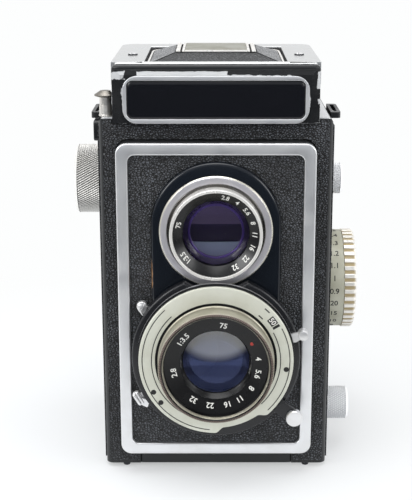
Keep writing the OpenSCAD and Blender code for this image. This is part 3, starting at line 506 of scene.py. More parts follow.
violet_glass = glass("violet_coated_glass", 0.0, 1.62, "#6c5c9c", 0.4)
blue_glass = glass("blue_coated_glass", 0.0, 1.62, "#8fa2f0")
clear_glass = glass("clear_magnifier_glass", 0.0, 1.52)
ground_glass = glass("ground_focusing_glass", 0.45, 1.52)
black_marks = paint("black_engraving_paint", "#141414", 0.5)
white_marks = paint("white_engraving_paint", "#d9d8d2", 0.5)
red_mark = paint("red_engraving_paint", "#a8342a", 0.5)
spool_lacquer = paint("red_brown_spool_lacquer", "#6d3329", 0.3, edge_wear=0.3)
# The four below are painted light behind the lenses: violet for the viewing lens's coated reflection, blue
# for the shade in the taking lens, and a blue-grey and a dim violet for the lit table and the room reflected
# in the viewing lens.
tube_violet = paint("violet_lit_tube", "#2a2044", 0.3)
tube_blue = paint("blue_lit_tube", "#2c3766", 0.3, 0.4)
table_reflection_paint = paint("painted_table_reflection", "#8f9bb8", 0.6)
room_reflection_paint = paint("painted_room_reflection", "#5c4f72", 0.6)
print("glass and marks made")

# %% [markdown]
# ## Surfaces on a grid
#
# Every new piece is a grid of points in rows and columns. A lathe piece carries a profile of radius and
# depth round an axis; a plate stacks the same outline at several depths, drawn in a little at each, so its
# edges are rounded; a line of paint carries a small section along an arc. The points are drawn flat,
# across, along and out of a face, and then carried to the face that they belong on.

# %% Grids
AXES = {
    "front": ([1, 0, 0], [0, 0, 1], [0, -1, 0]),
    "left": ([0, -1, 0], [0, 0, 1], [-1, 0, 0]),
    "right": ([0, 1, 0], [0, 0, 1], [1, 0, 0]),
    "up": ([1, 0, 0], [0, 1, 0], [0, 0, 1]),
    "down": ([1, 0, 0], [0, -1, 0], [0, 0, -1]),
}
TINY = 1e-9


def put(flat, at, facing):
    """Carries points given across, along and out of a face to the place at, on a face looking that way."""
    return np.asarray(flat, float) @ np.array(AXES[facing], float) + at


def full_turn(steps):
    """Angles once round, in radians."""
    return np.linspace(0, 2 * np.pi, steps, endpoint=False)


def polar(radius, angle):
    """Flat points at those radii and angles."""
    return np.stack([radius * np.cos(angle), radius * np.sin(angle)], -1)


def lifted(profile, by):
    """A profile of radius and depth, moved out by that depth."""
    return [(radius, by + depth) for radius, depth in profile]


def loft(loops, ring=False):
    """Skin over equal closed loops in a row; a ring joins last to first, else both ends get a cap."""
    rows, cols = loops.shape[:2]
    i = np.arange(rows if ring else rows - 1)[:, None]
    j = np.arange(cols)[None, :]
    up, on = (i + 1) % rows, (j + 1) % cols
    faces = np.stack(np.broadcast_arrays(i * cols + j, i * cols + on, up * cols + on, up * cols + j), -1)
    faces = faces.reshape(-1, 4).tolist()
    if not ring:
        faces += [list(range(cols)), list(range((rows - 1) * cols, rows * cols))]
    return loops.reshape(-1, 3), faces


def turned(profile, at, facing, turns=144, cut=None, ring=True):
    """Lathe work: each point's radius and depth carried round the axis; cut adds to the radius by place."""
    angle = full_turn(turns)[None, :]
    radius, depth = (np.array(profile, float).T)[:, :, None]
    radius = radius + (cut(angle, depth, radius) if cut else 0 * angle)
    flat = np.stack([radius * np.cos(angle), radius * np.sin(angle), depth + 0 * angle], -1)
    return loft(put(flat, at, facing), ring)


def soften(points, radius, steps=4):
    """Rounds each corner of a closed path by a curve of second degree from before the corner to after it."""
    corner = np.array(points, float)
    curve = []
    for neighbour in (np.roll(corner, 1, 0), np.roll(corner, -1, 0)):
        side = neighbour - corner
        length = np.maximum(np.linalg.norm(side, axis=1, keepdims=True), TINY)
        curve.append(corner + side / length * np.minimum(radius, 0.45 * length))
    t = np.linspace(0, 1, steps)[None, :, None]
    start, end = curve[0][:, None], curve[1][:, None]
    return ((1 - t) ** 2 * start + 2 * t * (1 - t) * corner[:, None] + t ** 2 * end).reshape(-1, 2)


def rounded_rect(half_x, half_z, radius, steps=9):
    """A rectangle whose corners are quarter circles: corner centres plus the radius at each angle."""
    angle = np.radians(np.linspace(0, 90, steps)[None, :] + np.arange(4)[:, None] * 90)
    side = np.array([[1, 1], [-1, 1], [-1, -1], [1, -1]])
    x = side[:, :1] * (half_x - radius) + radius * np.cos(angle)
    z = side[:, 1:] * (half_z - radius) + radius * np.sin(angle)
    return np.stack([x, z], -1).reshape(-1, 2)


def drawn_in(outline, inset):
    """A closed outline, counter-clockwise, moved inwards by the inset along its own normals."""
    along = np.roll(outline, -1, 0) - np.roll(outline, 1, 0)
    along /= np.maximum(np.linalg.norm(along, axis=1, keepdims=True), TINY)
    return outline - inset * along[:, ::-1] * [1, -1]


def rounded_edge(back, face, radius, steps=5):
    """Inset and depth of a plate's edge: straight from the back, then a quarter circle on to the face."""
    turn = np.radians(np.linspace(0, 90, steps))
    bend = np.column_stack([radius * (1 - np.cos(turn)), face - radius + radius * np.sin(turn)])
    return np.vstack([[0, back], bend])


def stacked(rows):
    """Loops of points from closed lines, each with its depth."""
    return np.array([np.column_stack([line, np.full(len(line), depth)]) for line, depth in rows])


def slab(outline, edge, at, facing):
    """A plate: its outline, a closed line or a function of the inset, drawn in by its edge at each depth."""
    draw = outline if callable(outline) else lambda inset: drawn_in(outline, inset)
    return loft(put(stacked([(draw(inset), depth) for inset, depth in edge]), at, facing))


def rimmed(outer, inner, edge, at, facing):
    """A flat ring between two outlines of equal count, both front edges shaped alike."""
    rows = [(drawn_in(outer, i), d) for i, d in edge] + [(drawn_in(inner, -i), d) for i, d in edge[::-1]]
    return loft(put(stacked(rows), at, facing), ring=True)


# %% [markdown]
# ## Making pieces
#
# A new piece is joined up, shaded smooth between its sharp edges, tied to the body it rides on, and set to
# stand for its solid, where it has one. A solid that is right already is only eased along its edges.

# %% Making pieces
BOARD = "lens_standard"
SHARP = 32
BEVEL_FROM = 35


def shade(mesh, sharp):
    """Smooth shading, but for edges above the angle in degrees."""
    mesh.shade_smooth()
    mesh.set_sharp_from_angle(angle=np.radians(sharp))


def add(name, mesh, finish, stands_for, on):
    """Puts a mesh into the scene with its finish, riding on its body and standing for its solids."""
    made = bpy.data.objects.new(name, mesh)
    scene.collection.objects.link(made)
    mesh.materials.clear()
    mesh.materials.append(finish)
    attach(made, on or rides[stands_for[0]])
    if stands_for:
        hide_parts(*stands_for)
    return made


def piece(name, shells, finish, *stands_for, on=None, sharp=SHARP, groove=None):
    """One piece from closed shells of points and faces in mm; groove is a number for each point."""
    points = np.concatenate([shell for shell, _ in shells]) / MM
    starts = np.cumsum([0] + [len(shell) for shell, _ in shells])
    faces = [[i + start for i in face] for (_, skin), start in zip(shells, starts) for face in skin]
    mesh = bpy.data.meshes.new(name)
    mesh.from_pydata(points.tolist(), [], faces)
    if groove is not None:
        mesh.attributes.new("groove", "FLOAT", "POINT").data.foreach_set("value", np.ravel(groove))
    work = bmesh.new()
    work.from_mesh(mesh)
    bmesh.ops.remove_doubles(work, verts=work.verts, dist=1e-7)
    bmesh.ops.recalc_face_normals(work, faces=work.faces)
    work.to_mesh(mesh)
    work.free()
    shade(mesh, sharp)
    print(name, len(mesh.polygons), "faces")
    return add(name, mesh, finish, stands_for, on)


def lathe(name, profile, at, facing, finish, *stands_for, soft=0.0, turns=144, ring=True, **more):
    """One turned piece; soft is how far the corners of its profile are rounded first."""
    line = soften(profile, soft) if soft else profile
    return piece(name, [turned(line, at, facing, turns, ring=ring)], finish, *stands_for, **more)


def knurled(name, profile, at, facing, turns, cut, deep, finish, *stands_for, **more):
    """A turned piece with a cut round it; its mesh carries how deep each point lies in a groove."""
    radius, depth = (np.array(profile, float).T)[:, :, None]
    groove = np.clip(-cut(full_turn(turns)[None, :], depth, radius) / deep, 0, 1)
    shell = turned(profile, at, facing, turns, cut)
    return piece(name, [shell], finish, *stands_for, groove=groove, **more)


def eased(name, solid, finish, width, segments=2):
    """A solid's own shape with its hard edges rounded: flat triangles merged, then edges bevelled."""
    mesh = nodes[solid].data.copy()
    work = bmesh.new()
    work.from_mesh(mesh)
    bmesh.ops.remove_doubles(work, verts=work.verts, dist=1e-6)
    bmesh.ops.dissolve_limit(work, angle_limit=np.radians(0.5), verts=work.verts, edges=work.edges)
    work.to_mesh(mesh)
    work.free()
    shade(mesh, SHARP)
    made = add(name, mesh, finish, (solid,), None)
    bevel = made.modifiers.new("rounded_edges", "BEVEL")
    bevel.width = width / MM
    bevel.segments = segments
    bevel.limit_method = "ANGLE"
    bevel.angle_limit = np.radians(BEVEL_FROM)
    bevel.use_clamp_overlap = True
    bevel.harden_normals = True
    print(name, "from", solid)


def dress(finish, *names):
    """Gives the solids that keep their shape a finish."""
    for name in names:
        nodes[name].data.materials.clear()
        nodes[name].data.materials.append(finish)


# %% [markdown]
# ## Body
#
# The body is one casting with the shutter and mirror chambers inside. Its solid is right, so it stays, with
# its edges rounded by a bevel and the enamel over it. The leatherette sits in shallow recesses. Four turned
# feet carry the camera.

# %% Body
eased("rounded_body_casting", "body_shell", body_enamel, 0.35)
eased("rounded_lens_board", "lens_board", body_enamel, 0.25)
eased("satin_shoulder", "shoulder_plate", satin_aluminium, 0.2)
eased("counter_housing", "counter_cover", body_enamel, 0.4)
eased("strap_loops", "strap_lugs", body_enamel, 0.35)
dress(leatherette, "body_leatherette", "board_leatherette", "door_leatherette")

FOOT_R = 1.3
foot_low, foot_high = span("feet")
foot_spots = [[x, y, foot_high[2]] for x in (foot_low[0] + FOOT_R, foot_high[0] - FOOT_R)
              for y in (foot_low[1] + FOOT_R, foot_high[1] - FOOT_R)]
foot = [(0, 0), (FOOT_R, 0), (FOOT_R, 0.9), (1.15, 1.3), (0.8, 1.5), (0, 1.5)]
feet = [turned(foot, spot, "down", 32, ring=False) for spot in foot_spots]
piece("turned_feet", feet, dark_alloy_and_shade, "feet")

# %% [markdown]
# ## Front frame and lens panel
#
# A satin aluminium frame borders the moving board. Both its edges are rounded, because the highlight that
# runs along them is what shows it as metal. The arched panel that carries both lenses joins a small circle
# about the viewing lens to a larger one about the taking lens with straight sides.

# %% Frame
FRAME_RAIL, FRAME_EDGE = 3.9, 0.5
FRAME_ROUND = (3.5, 2.3)

half_x, _, half_z = size("front_frame") / 2
frame_at = np.array([0, front, middle("front_frame")[2]])
outer = rounded_rect(half_x, half_z, FRAME_ROUND[0])
inner = rounded_rect(half_x - FRAME_RAIL, half_z - FRAME_RAIL, FRAME_ROUND[1])
frame_shell = rimmed(outer, inner, rounded_edge(*reach("front_frame"), FRAME_EDGE), frame_at, "front")
piece("satin_front_frame", [frame_shell], satin_aluminium, "front_frame")

# %% Lens panel
ARCH_R, ARCH_RISE, NECK = 21.3, 1.7, 4.0
PANEL_PROUD, PANEL_ROUND = 0.7, 1.0
HOLES = (16.3, 17.5)

axis_gap = viewing[2] - taking[2]
arch_turn = np.linspace(0, np.pi, 61)
levels = np.linspace(axis_gap, 0, 42)[1:-1]


def round_both(upper_r, lower_r, rise, half_width):
    """An outline round both axes: a half circle above, sides given by height, and a half circle below."""
    top = polar(upper_r, arch_turn) + [0, axis_gap + rise]
    left = np.column_stack([-half_width, levels])
    right = np.column_stack([half_width, levels])[::-1]
    return np.vstack([top, left, -polar(lower_r, arch_turn), right])


def chord(radius, away):
    """Half the width of a circle at a distance from its middle."""
    return np.sqrt(np.maximum(radius ** 2 - away ** 2, 0))


hole_width = np.maximum(NECK, np.maximum(chord(HOLES[0], levels - axis_gap), chord(HOLES[1], levels)))
panel_outer = round_both(ARCH_R, ARCH_R, ARCH_RISE, np.full(len(levels), ARCH_R))
panel_inner = round_both(*HOLES, 0, hole_width)
back, face = reach("lens_panel")
panel_edge = rounded_edge(back, face + PANEL_PROUD, PANEL_ROUND, 9)
panel_rows = [(drawn_in(panel_outer, i), d) for i, d in panel_edge]
panel_rows += [(panel_inner, face + PANEL_PROUD), (panel_inner, back)]
panel_shell = loft(put(stacked(panel_rows), taking, "front"), ring=True)
piece("arched_lens_panel", [panel_shell], gloss_lacquer, "lens_panel", sharp=40)

# %% [markdown]
# ## Viewing lens
#
# From the outside in: a plated flange, a dark barrel with a step, a bright rim, a black ring that slopes
# back to the glass, and the violet coated lens, whose front bulges. All are turned, so each is a profile of
# radius and depth. Behind the glass the finder's depth is painted reflection: a stop and tube painted violet
# for the coating, a violet ring for its bright arcs, a blue-grey plate below for the lit table, and a dim
# violet plate above for the room.

# %% Viewing lens
FLANGE_BORE, FLANGE_EDGE = 16.25, 0.5
SHELF_DOWN = 4.6
VIEW_GLASS_R = 10.85


def lens_profile(radius, rim, bulge, back, hollow=0.0, steps=24):
    """Radius and depth of a lens from its front pole over the rim to its back pole; faces are parabolas."""
    out = np.linspace(0, 1, steps)
    front_face = np.column_stack([radius * out, rim + bulge * (1 - out ** 2)])
    back_face = np.column_stack([radius * out, back + hollow * (1 - out ** 2)])
    return np.vstack([front_face, back_face[::-1]])


back, face = reach("viewing_flange")
flange_r = span("viewing_flange")[1][0]
edge_r = flange_r - FLANGE_EDGE
flange = [(FLANGE_BORE, back), (edge_r, back), (edge_r, face), (FLANGE_BORE, face)]
lathe("satin_viewing_flange", flange, viewing, "front", satin_nickel, "viewing_flange", soft=0.1)
flange_edge = [(edge_r, back), (flange_r, back), (flange_r, face - FLANGE_EDGE), (edge_r, face)]
lathe("bright_flange_edge", flange_edge, viewing, "front", plated_brass, on=BOARD, soft=0.1)

rim_face = reach("viewing_barrel")[1]
shelf = rim_face - SHELF_DOWN
barrel = [(10.9, -2), (11.7, -2), (11.7, back), (16.2, back), (16.2, shelf - 0.2), (16.0, shelf),
          (15.1, shelf), (15.1, back + 0.6), (10.9, back + 0.3)]
lathe("dark_viewing_barrel", barrel, viewing, "front", barrel_metal, "viewing_barrel", soft=0.12)
rim = [(14.15, shelf - 0.3), (15.2, shelf - 0.3), (15.2, rim_face - 0.3), (15.0, rim_face),
       (14.3, rim_face), (14.15, rim_face - 0.12)]
lathe("bright_viewing_rim", rim, viewing, "front", white_plate, on=BOARD, soft=0.1)

VIEW_CONE = ((14.1, rim_face - 0.5), (10.95, rim_face - 2.9))
cone = [VIEW_CONE[0], (14.1, rim_face - 1.7), (11.6, rim_face - 3.7), (11.6, shelf - 1.4),
        (10.9, shelf - 1.4), (10.9, rim_face - 3.1), VIEW_CONE[1]]
lathe("black_viewing_name_ring", cone, viewing, "front", mount_black, "viewing_name_ring", soft=0.1)
view_glass = lens_profile(VIEW_GLASS_R, shelf, 2.1, shelf - 1.0)
lathe("violet_viewing_glass", view_glass, viewing, "front", violet_glass, "viewing_front_lens", ring=False)

# %% Behind the viewing lens
STOP_R, STOP_DOWN = 7.9, 1.6
TUBE_R = (9.4, 10.8)
REFLECTION_F, REFLECTION_R, REFLECTION_T = 1.5, 9.2, 0.3
TABLE_REFLECTION_LEVEL, ROOM_REFLECTION_LEVEL = -4.2, 0.8
BEAD_AT, BEAD_THICK = (0.55, -0.75), 0.4

stop_f = shelf - STOP_DOWN
tube = [(TUBE_R[1], stop_f), (STOP_R, stop_f - 0.9), (STOP_R, stop_f - 1.2), (TUBE_R[0], stop_f - 1.5),
        (TUBE_R[0], 0), (TUBE_R[1], 0)]
tube_end = [(0, 0), (9.3, 0), (9.3, 0.3), (0, 0.3)]
# The stop and its tube are painted violet: a painted reflection of the coating.
stop_shells = [turned(tube, viewing, "front"), turned(tube_end, viewing, "front", ring=False)]
piece("finder_lens_stop", stop_shells, tube_violet, on=BOARD)
# Painted highlight: a violet ring for the bright arcs in the glass.
highlight_ring = polar(BEAD_THICK, full_turn(20)) + [STOP_R + BEAD_AT[0], stop_f + BEAD_AT[1]]
lathe("violet_highlight_ring", highlight_ring, viewing, "front", violet_highlight_paint, on=BOARD)


def disc_part(level, up):
    """The part of a disc above or below a level line, as a thin plate behind the lens that carries a painted
    reflection.
    """
    start = np.arcsin(level / REFLECTION_R)
    ends = (start, np.pi - start) if up else (np.pi - start, 2 * np.pi + start)
    line = polar(REFLECTION_R, np.linspace(*ends, 60))
    return slab(line, [(0, REFLECTION_F - REFLECTION_T), (0, REFLECTION_F)], viewing, "front")


# Painted reflections: a blue-grey plate below for the lit table, a dim violet one above for the room.
piece("finder_table_reflection", [disc_part(TABLE_REFLECTION_LEVEL, False)], table_reflection_paint, on=BOARD)
piece("finder_room_reflection", [disc_part(ROOM_REFLECTION_LEVEL, True)], room_reflection_paint, on=BOARD)

# %% [markdown]
# ## Shutter case and face plate
#
# The shutter is a dark drum, cut away at the top where the viewing lens stands. Its cut follows a circle
# about the viewing axis, so the drum's radius at an angle is the smaller of its own and the distance to
# that circle. On it lies the frosted plate with the dial marks, drawn in at lower right where the cocking
# lever swings.

# %% Shutter case
DRUM_R, DRUM_BORE = 28.0, 20.6
DRUM_F, DRUM_EDGE = (9.2, 12.6), 0.7
NOTCH_R = 19.0

around = full_turn(360)


def drum_radius(angle):
    """The drum's radius, or the nearer way to the circle about the viewing axis where that is shorter."""
    inside = np.maximum(NOTCH_R ** 2 - (axis_gap * np.cos(angle)) ** 2, 0)
    to_notch = axis_gap * np.sin(angle) - np.sqrt(inside)
    blocked = (inside > 0) & (np.sin(angle) > 0)
    return np.where(blocked, np.minimum(DRUM_R, to_notch), DRUM_R)


drum = polar(drum_radius(around), around)
drum_edge = rounded_edge(*DRUM_F, DRUM_EDGE)
drum_shell = rimmed(drum, polar(DRUM_BORE, around), drum_edge, taking, "front")
neck = [(14, 7.5), (14, 14.8), (20.5, 14.8), (20.5, 6.9), (11.7, 6.9), (11.7, -5), (10.6, -5), (10.6, 7.5)]
neck_shell = turned(soften(neck, 0.2), taking, "front")
piece("dark_shutter_case", [drum_shell, neck_shell], case_black, "shutter_case")

# %% Face plate
PLATE_R, PLATE_EDGE = (19.6, 25.6), 0.3
SCALLOP_R, SCALLOP, SCALLOP_EASE = 23.7, (-90.7, -47.5), 7.0


def plate_radius(angle):
    """The plate's radius, eased down to the scallop's between its two ends by S-curves."""
    degrees = (np.degrees(angle) + 180) % 360 - 180
    enter = np.clip((degrees - SCALLOP[0]) / SCALLOP_EASE, 0, 1)
    leave = np.clip((SCALLOP[1] - degrees) / SCALLOP_EASE, 0, 1)
    deep = np.minimum(enter, leave)
    return PLATE_R[1] - (PLATE_R[1] - SCALLOP_R) * deep ** 2 * (3 - 2 * deep)


back, plate_face = reach("face_plate")
plate_edge = rounded_edge(back, plate_face, PLATE_EDGE)
plate_outer, plate_inner = polar(plate_radius(around), around), polar(PLATE_R[0], around)
plate_shell = rimmed(plate_outer, plate_inner, plate_edge, taking, "front")
piece("frosted_face_plate", [plate_shell], frosted_plate, "face_plate")

# %% Marks on the face plate
LINE, DASH_LINE, WINDOW = 0.3, 0.4, 2.5
MARK_PROUD = 0.03
LEFT_SWEEP, RIGHT_SWEEP, DASH = (133, 265), (-45, 28), (44, 49)
DOT, DOT_R, DOT_ANGLES = 0.88, 23.4, (207.6, 218.4, -6.9)
WINDOW_R, WINDOW_SPAN, WINDOW_BAR = 23.1, (33.4, 40.4), (30.4, 32.6)


def spot_at(radius, angle, depth=0.0):
    """A place at that radius and angle in degrees about the taking axis, that far in front of the body."""
    turn = np.radians(angle)
    return taking + put([radius * np.cos(turn), radius * np.sin(turn), depth], 0, "front")


def arc_line(radius, start, end, width=LINE):
    """A painted line on the plate: a flat rectangle carried along an arc from one angle to another."""
    angle = np.radians(np.linspace(start, end, max(8, int(abs(end - start)))))[:, None]
    out = radius + width * np.array([-0.5, 0.5, 0.5, -0.5])[None, :]
    height = plate_face + MARK_PROUD * np.array([-1, -1, 1, 1])[None, :] + 0 * angle
    return loft(put(np.stack([out * np.cos(angle), out * np.sin(angle), height], -1), taking, "front"))


def dot(radius, angle, width, depth):
    """A painted dot: a flat disc at that radius and angle about the taking axis."""
    disc = [(0, -MARK_PROUD), (width, -MARK_PROUD), (width, MARK_PROUD), (0, MARK_PROUD)]
    return turned(disc, spot_at(radius, angle, depth), "front", 24, ring=False)


marks = [arc_line(r, *ends) for r in (24.4, 21.3) for ends in (LEFT_SWEEP, RIGHT_SWEEP)]
marks += [arc_line(r, *DASH, DASH_LINE) for r in (24.3, 21.2)]
marks += [dot(DOT_R, angle, DOT, plate_face) for angle in DOT_ANGLES]
marks += [arc_line(WINDOW_R, *ends, WINDOW) for ends in (WINDOW_SPAN, WINDOW_BAR)]
piece("face_plate_marks", marks, black_marks, on=BOARD)

# %% [markdown]
# ## Figures
#
# Plain figures are set with the built-in font as thin raised letters, turned into points, and bent on to a
# drum, a cone or a plate by moving the points: across the figure becomes an angle, along it a radius.

# %% Figures
FIGURE_THICK, FIGURE_BOLD = 0.04, 0.02
FONT_SIZE = 1.4
RING_FIGURES = {"1:3.5": 218, "75": 165, "2.8": 76, "4": 57, "5.6": 38, "8": 18, "11": 0, "16": -20,
                "22": -40, "32": -60}


def figures(text, height):
    """Points and faces of thin raised figures of that height, centred, in millimetres."""
    curve = bpy.data.curves.new("figures", "FONT")
    curve.body = text
    curve.size = height * FONT_SIZE
    curve.extrude = FIGURE_THICK
    curve.offset = FIGURE_BOLD * height
    curve.align_x = "CENTER"
    curve.align_y = "CENTER"
    curve.resolution_u = 3
    holder = bpy.data.objects.new("figures", curve)
    mesh = holder.to_mesh()
    points = np.empty(len(mesh.vertices) * 3)
    mesh.vertices.foreach_get("co", points)
    faces = [list(face.vertices) for face in mesh.polygons]
    holder.to_mesh_clear()
    bpy.data.objects.remove(holder)
    return points.reshape(-1, 3), faces


def on_ring(text, height, axis, radius, depth, slope, angle):
    """Figures bent round an axis, tops out: across is an angle, along a radius, and slope tips the face."""
    points, faces = figures(text, height)
    x, y, z = points.T
    flat = np.column_stack([polar(radius + y, np.radians(angle) - x / radius), depth + y * slope + z])
    return put(flat, axis, "front"), faces


def cone_slope(cone):
    """How much the depth of a cone changes with its radius, from its outer and inner edge."""
    return (cone[0][1] - cone[1][1]) / (cone[0][0] - cone[1][0])


def ring_figures(name, height, axis, radius, depth, slope, angles):
    """White figures round a name ring, each at its own angle."""
    shells = [on_ring(text, height, axis, radius, depth, slope, angle) for text, angle in angles.items()]
    piece(name, shells, white_marks, on=BOARD)


ring_figures("speed_window_figure", 1.7, taking, WINDOW_R, plate_face + 0.04, 0, {"50": 36.9})
view_mid = np.mean(VIEW_CONE, 0)
ring_figures("viewing_ring_figures", 1.55, viewing, *view_mid, cone_slope(VIEW_CONE), RING_FIGURES)

# %% [markdown]
# ## Taking lens
#
# The bezel is a plated tube with a finely toothed front ring that shows brass where the plating has gone.
# The black name ring slopes in to the glass, and a threaded ring holds the glass from inside. Behind the
# glass the closed shutter shows: five thin blades that overlap like the vanes of a fan. The tube shades
# them from below; that shade is painted into their colour, which falls off from a painted light grey to
# a dark blue across a soft circle, and the tube itself is painted the same blue.

# %% Taking lens
BEZEL_TEETH, TOOTH_DEEP = 200, 0.24
FINE_TURNS = 180
TAKE_CONE = ((17.0, 20.4), (11.9, 19.5))
THREADS, THREAD_TALL = 8, 0.13
TEXT_R = 13.95
TAKE_FIGURES = {"1:3.5": 140, "75": 80, "4": 10, "5.6": -12, "8": -34, "11": -56, "16": 286, "22": 262,
                "32": 238, "2.8": 190}

back, bezel_face = reach("taking_bezel")
bezel = lifted([(17.2, 0), (19.3, 0), (19.3, 1.3), (18.9, 1.6)], back)
bezel += lifted([(18.9, -0.6), (18.7, -0.4), (17.6, -0.4), (17.2, -1.2)], bezel_face)
lathe("plated_taking_bezel", bezel, taking, "front", aged_bezel, "taking_bezel", soft=0.15,
      turns=FINE_TURNS)
# A black ring on the plate round the bezel's foot: painted shadow of the gap there.
bezel_shade_ring = lifted([(19.2, -0.3), (20.15, -0.3), (20.15, 0.04), (19.2, 0.04)], plate_face)
lathe("painted_shade_bezel_ring", bezel_shade_ring, taking, "front", black_paint_and_shade, on=BOARD, turns=FINE_TURNS)


def teeth_cut(angle, depth, radius):
    """Fine teeth on the cone of the front ring: a cosine in the angle, all along the cone."""
    on_cone = (radius > 18.05) & (depth > bezel_face - 0.6)
    return -TOOTH_DEEP / 2 * (1 + np.cos(BEZEL_TEETH * angle)) * on_cone


toothed = lifted([(18.0, -0.6), (18.8, -0.5), (18.8, -0.3), (18.6, -0.1), (18.35, 0), (18.1, -0.05),
                  (18.0, -0.2)], bezel_face)
knurled("toothed_front_ring", toothed, taking, "front", 6 * BEZEL_TEETH, teeth_cut, TOOTH_DEEP, copper_teeth,
        on=BOARD)
bore = lifted([(18.05, -0.5), (18.05, -0.1), (17.85, -0.1), (17.5, -0.6), (17.2, -1.6)], bezel_face)
bore += [(17.0, 20.0), (17.15, 20.0), (17.4, bezel_face - 1.6)]
lathe("black_bezel_bore", bore, taking, "front", mount_black, on=BOARD, turns=FINE_TURNS)

groove_f = np.linspace(19.3, 16.1, 2 * THREADS)
groove_r = np.linspace(11.8, 10.95, 2 * THREADS) + THREAD_TALL * (np.arange(2 * THREADS) % 2)
ring = [*TAKE_CONE, *zip(groove_r, groove_f), (10.95, 15.3), (13.5, 15.3), (17.0, 19.2)]
lathe("black_taking_name_ring", ring, taking, "front", mount_black, "taking_name_ring", sharp=20)
take_slope = cone_slope(TAKE_CONE)
text_f = TAKE_CONE[1][1] + take_slope * (TEXT_R - TAKE_CONE[1][0])
ring_figures("taking_ring_figures", 1.85, taking, TEXT_R, text_f, take_slope, TAKE_FIGURES)
piece("red_ring_dot", [dot(TEXT_R, 33, 0.6, text_f + 0.04)], red_mark, on=BOARD)

take_glass = lens_profile(10.9, 15.6, 3.0, 14.6)
lathe("blue_taking_glass", take_glass, taking, "front", blue_glass, "taking_front_lens", ring=False)
rear_low, rear_high = reach("taking_rear_lens")
rear_glass = lens_profile(9.8, rear_high - 1.2, 0.6, rear_low + 0.8, -0.8)
lathe("blue_rear_glass", rear_glass, taking, "front", blue_glass, "taking_rear_lens", ring=False)

# %% Shutter blades
BLADES, BLADE_LEAN = 5, 0.07
BLADE_F, BLADE_STEP, BLADE_THICK = 4.6, 0.08, 0.3
FAN_R, BORE_R, TUNNEL_F = 10.3, 10.4, 14.45
SHADE_R, SHADE_UP, SHADE_SOFT = 10.7, 7.2, 1.1

# The tunnel is painted blue, the dark end of the blades' painted shade.
tunnel = [(10.85, TUNNEL_F), (BORE_R, BLADE_F + 0.6), (BORE_R, BLADE_F - 0.4), (11.0, BLADE_F - 0.4),
          (11.3, TUNNEL_F)]
lathe("blue_lens_tunnel", tunnel, taking, "front", tube_blue, on=BOARD)


def shaded_blades(name, lit, dark):
    """Painted light and shade on the blades: a colour that falls off from lit to dark, by the distance from
    a point above the taking axis.
    """
    made, tree, place = blank(name)
    off = vector(tree, "SUBTRACT", (place, "Object"), tuple((taking + [0, 0, SHADE_UP]) / MM))
    away = vector(tree, "LENGTH", vector(tree, "MULTIPLY", off, (1, 0, 1)))
    start, end = (SHADE_R - SHADE_SOFT) / MM, (SHADE_R + SHADE_SOFT) / MM
    fall = remap(tree, away, start, end, curve="SMOOTHSTEP")
    surface(tree, {"Base Color": blend(tree, fall, ink(lit), ink(dark)), "Roughness": 0.5})
    return made


def blade_depth(radius, angle):
    """A fan: the depth climbs along each blade and drops at the next, and the seams lean with the radius."""
    turn = angle / (2 * np.pi) * BLADES + BLADE_LEAN * radius
    return BLADE_F + BLADE_STEP * (turn % 1)


# The lit grey and the dark blue of the blades are painted light and shade.
shade_painted_blades = shaded_blades("shutter_blades_painted_shade", "#f6f8fd", "#2c3766")
fan_r = np.linspace(0, FAN_R, 24)[:, None]
fan_a = full_turn(300)[None, :]
fan = np.concatenate([polar(fan_r, fan_a), blade_depth(fan_r, fan_a)[..., None]], -1)
fan[0, :, 2] = BLADE_F
under = fan[::-1].copy()
under[..., 2] = BLADE_F - BLADE_THICK
blade_shell = loft(put(np.vstack([fan, under]), taking, "front"))
piece("closed_shutter_blades", [blade_shell], shade_painted_blades, on=BOARD, sharp=20)

# %% [markdown]
# ## Shutter levers
#
# Each lever is a ring that turns on the case, an arm that comes out from under the plate, and a knob for
# the finger. The rings and knobs are turned; the arms are plates with rounded edges, drawn along the radius
# and turned to their angle.

# %% Lever helpers
REAR_RING, FRONT_RING = (20.7, 22.9), (21.1, 26.2)
RING_T = 0.8
TIP_R = 0.3
SLOT_HALF, SLOT_FLOOR, DOME, DOME_FOOT = 0.24, 0.12, 0.35, 0.25


def ring_shell(radii, depth):
    """A flat ring about the taking axis."""
    section = [(radii[0], 0), (radii[1], 0), (radii[1], RING_T), (radii[0], RING_T)]
    return turned(lifted(section, depth), taking, "front")


def flat_shell(outline, angle, depth, thick, ease=0.2):
    """A plate with rounded edges, its outline drawn along the radius and turned to its angle."""
    c, s = np.cos(np.radians(angle)), np.sin(np.radians(angle))
    line = np.asarray(outline, float) @ np.array([[c, s], [-s, c]])
    return slab(line, rounded_edge(depth, depth + thick, ease), taking, "front")


def arm_shell(points, angle, depth, thick, corner=0.4, ease=0.2):
    """An arm: its outline with rounded corners, as a plate with rounded edges."""
    return flat_shell(soften(points, corner, 6), angle, depth, thick, ease)


def teardrop(centre, radius, tip):
    """A circle drawn out to a tip: the arc that does not face the tip, and the tip itself, blunted."""
    way = np.subtract(tip, centre)
    heading, far = np.arctan2(way[1], way[0]), np.hypot(*way)
    half = np.arccos(radius / far)
    arc = centre + polar(radius, np.linspace(heading + half, heading + 2 * np.pi - half, 40))
    nose = heading + np.linspace(-half, half, 8)
    return np.vstack([arc, tip - TIP_R * way / far + polar(TIP_R, nose)])


def knob_shell(radius, angle, profile):
    """A turned knob on an arm, at that radius and angle about the taking axis."""
    return turned(profile, spot_at(radius, angle), "front", 48, ring=False)


def bar(start, end, half):
    """Corners of an arm from one radius to another."""
    return [(start, -half), (end, -half), (end, half), (start, half)]


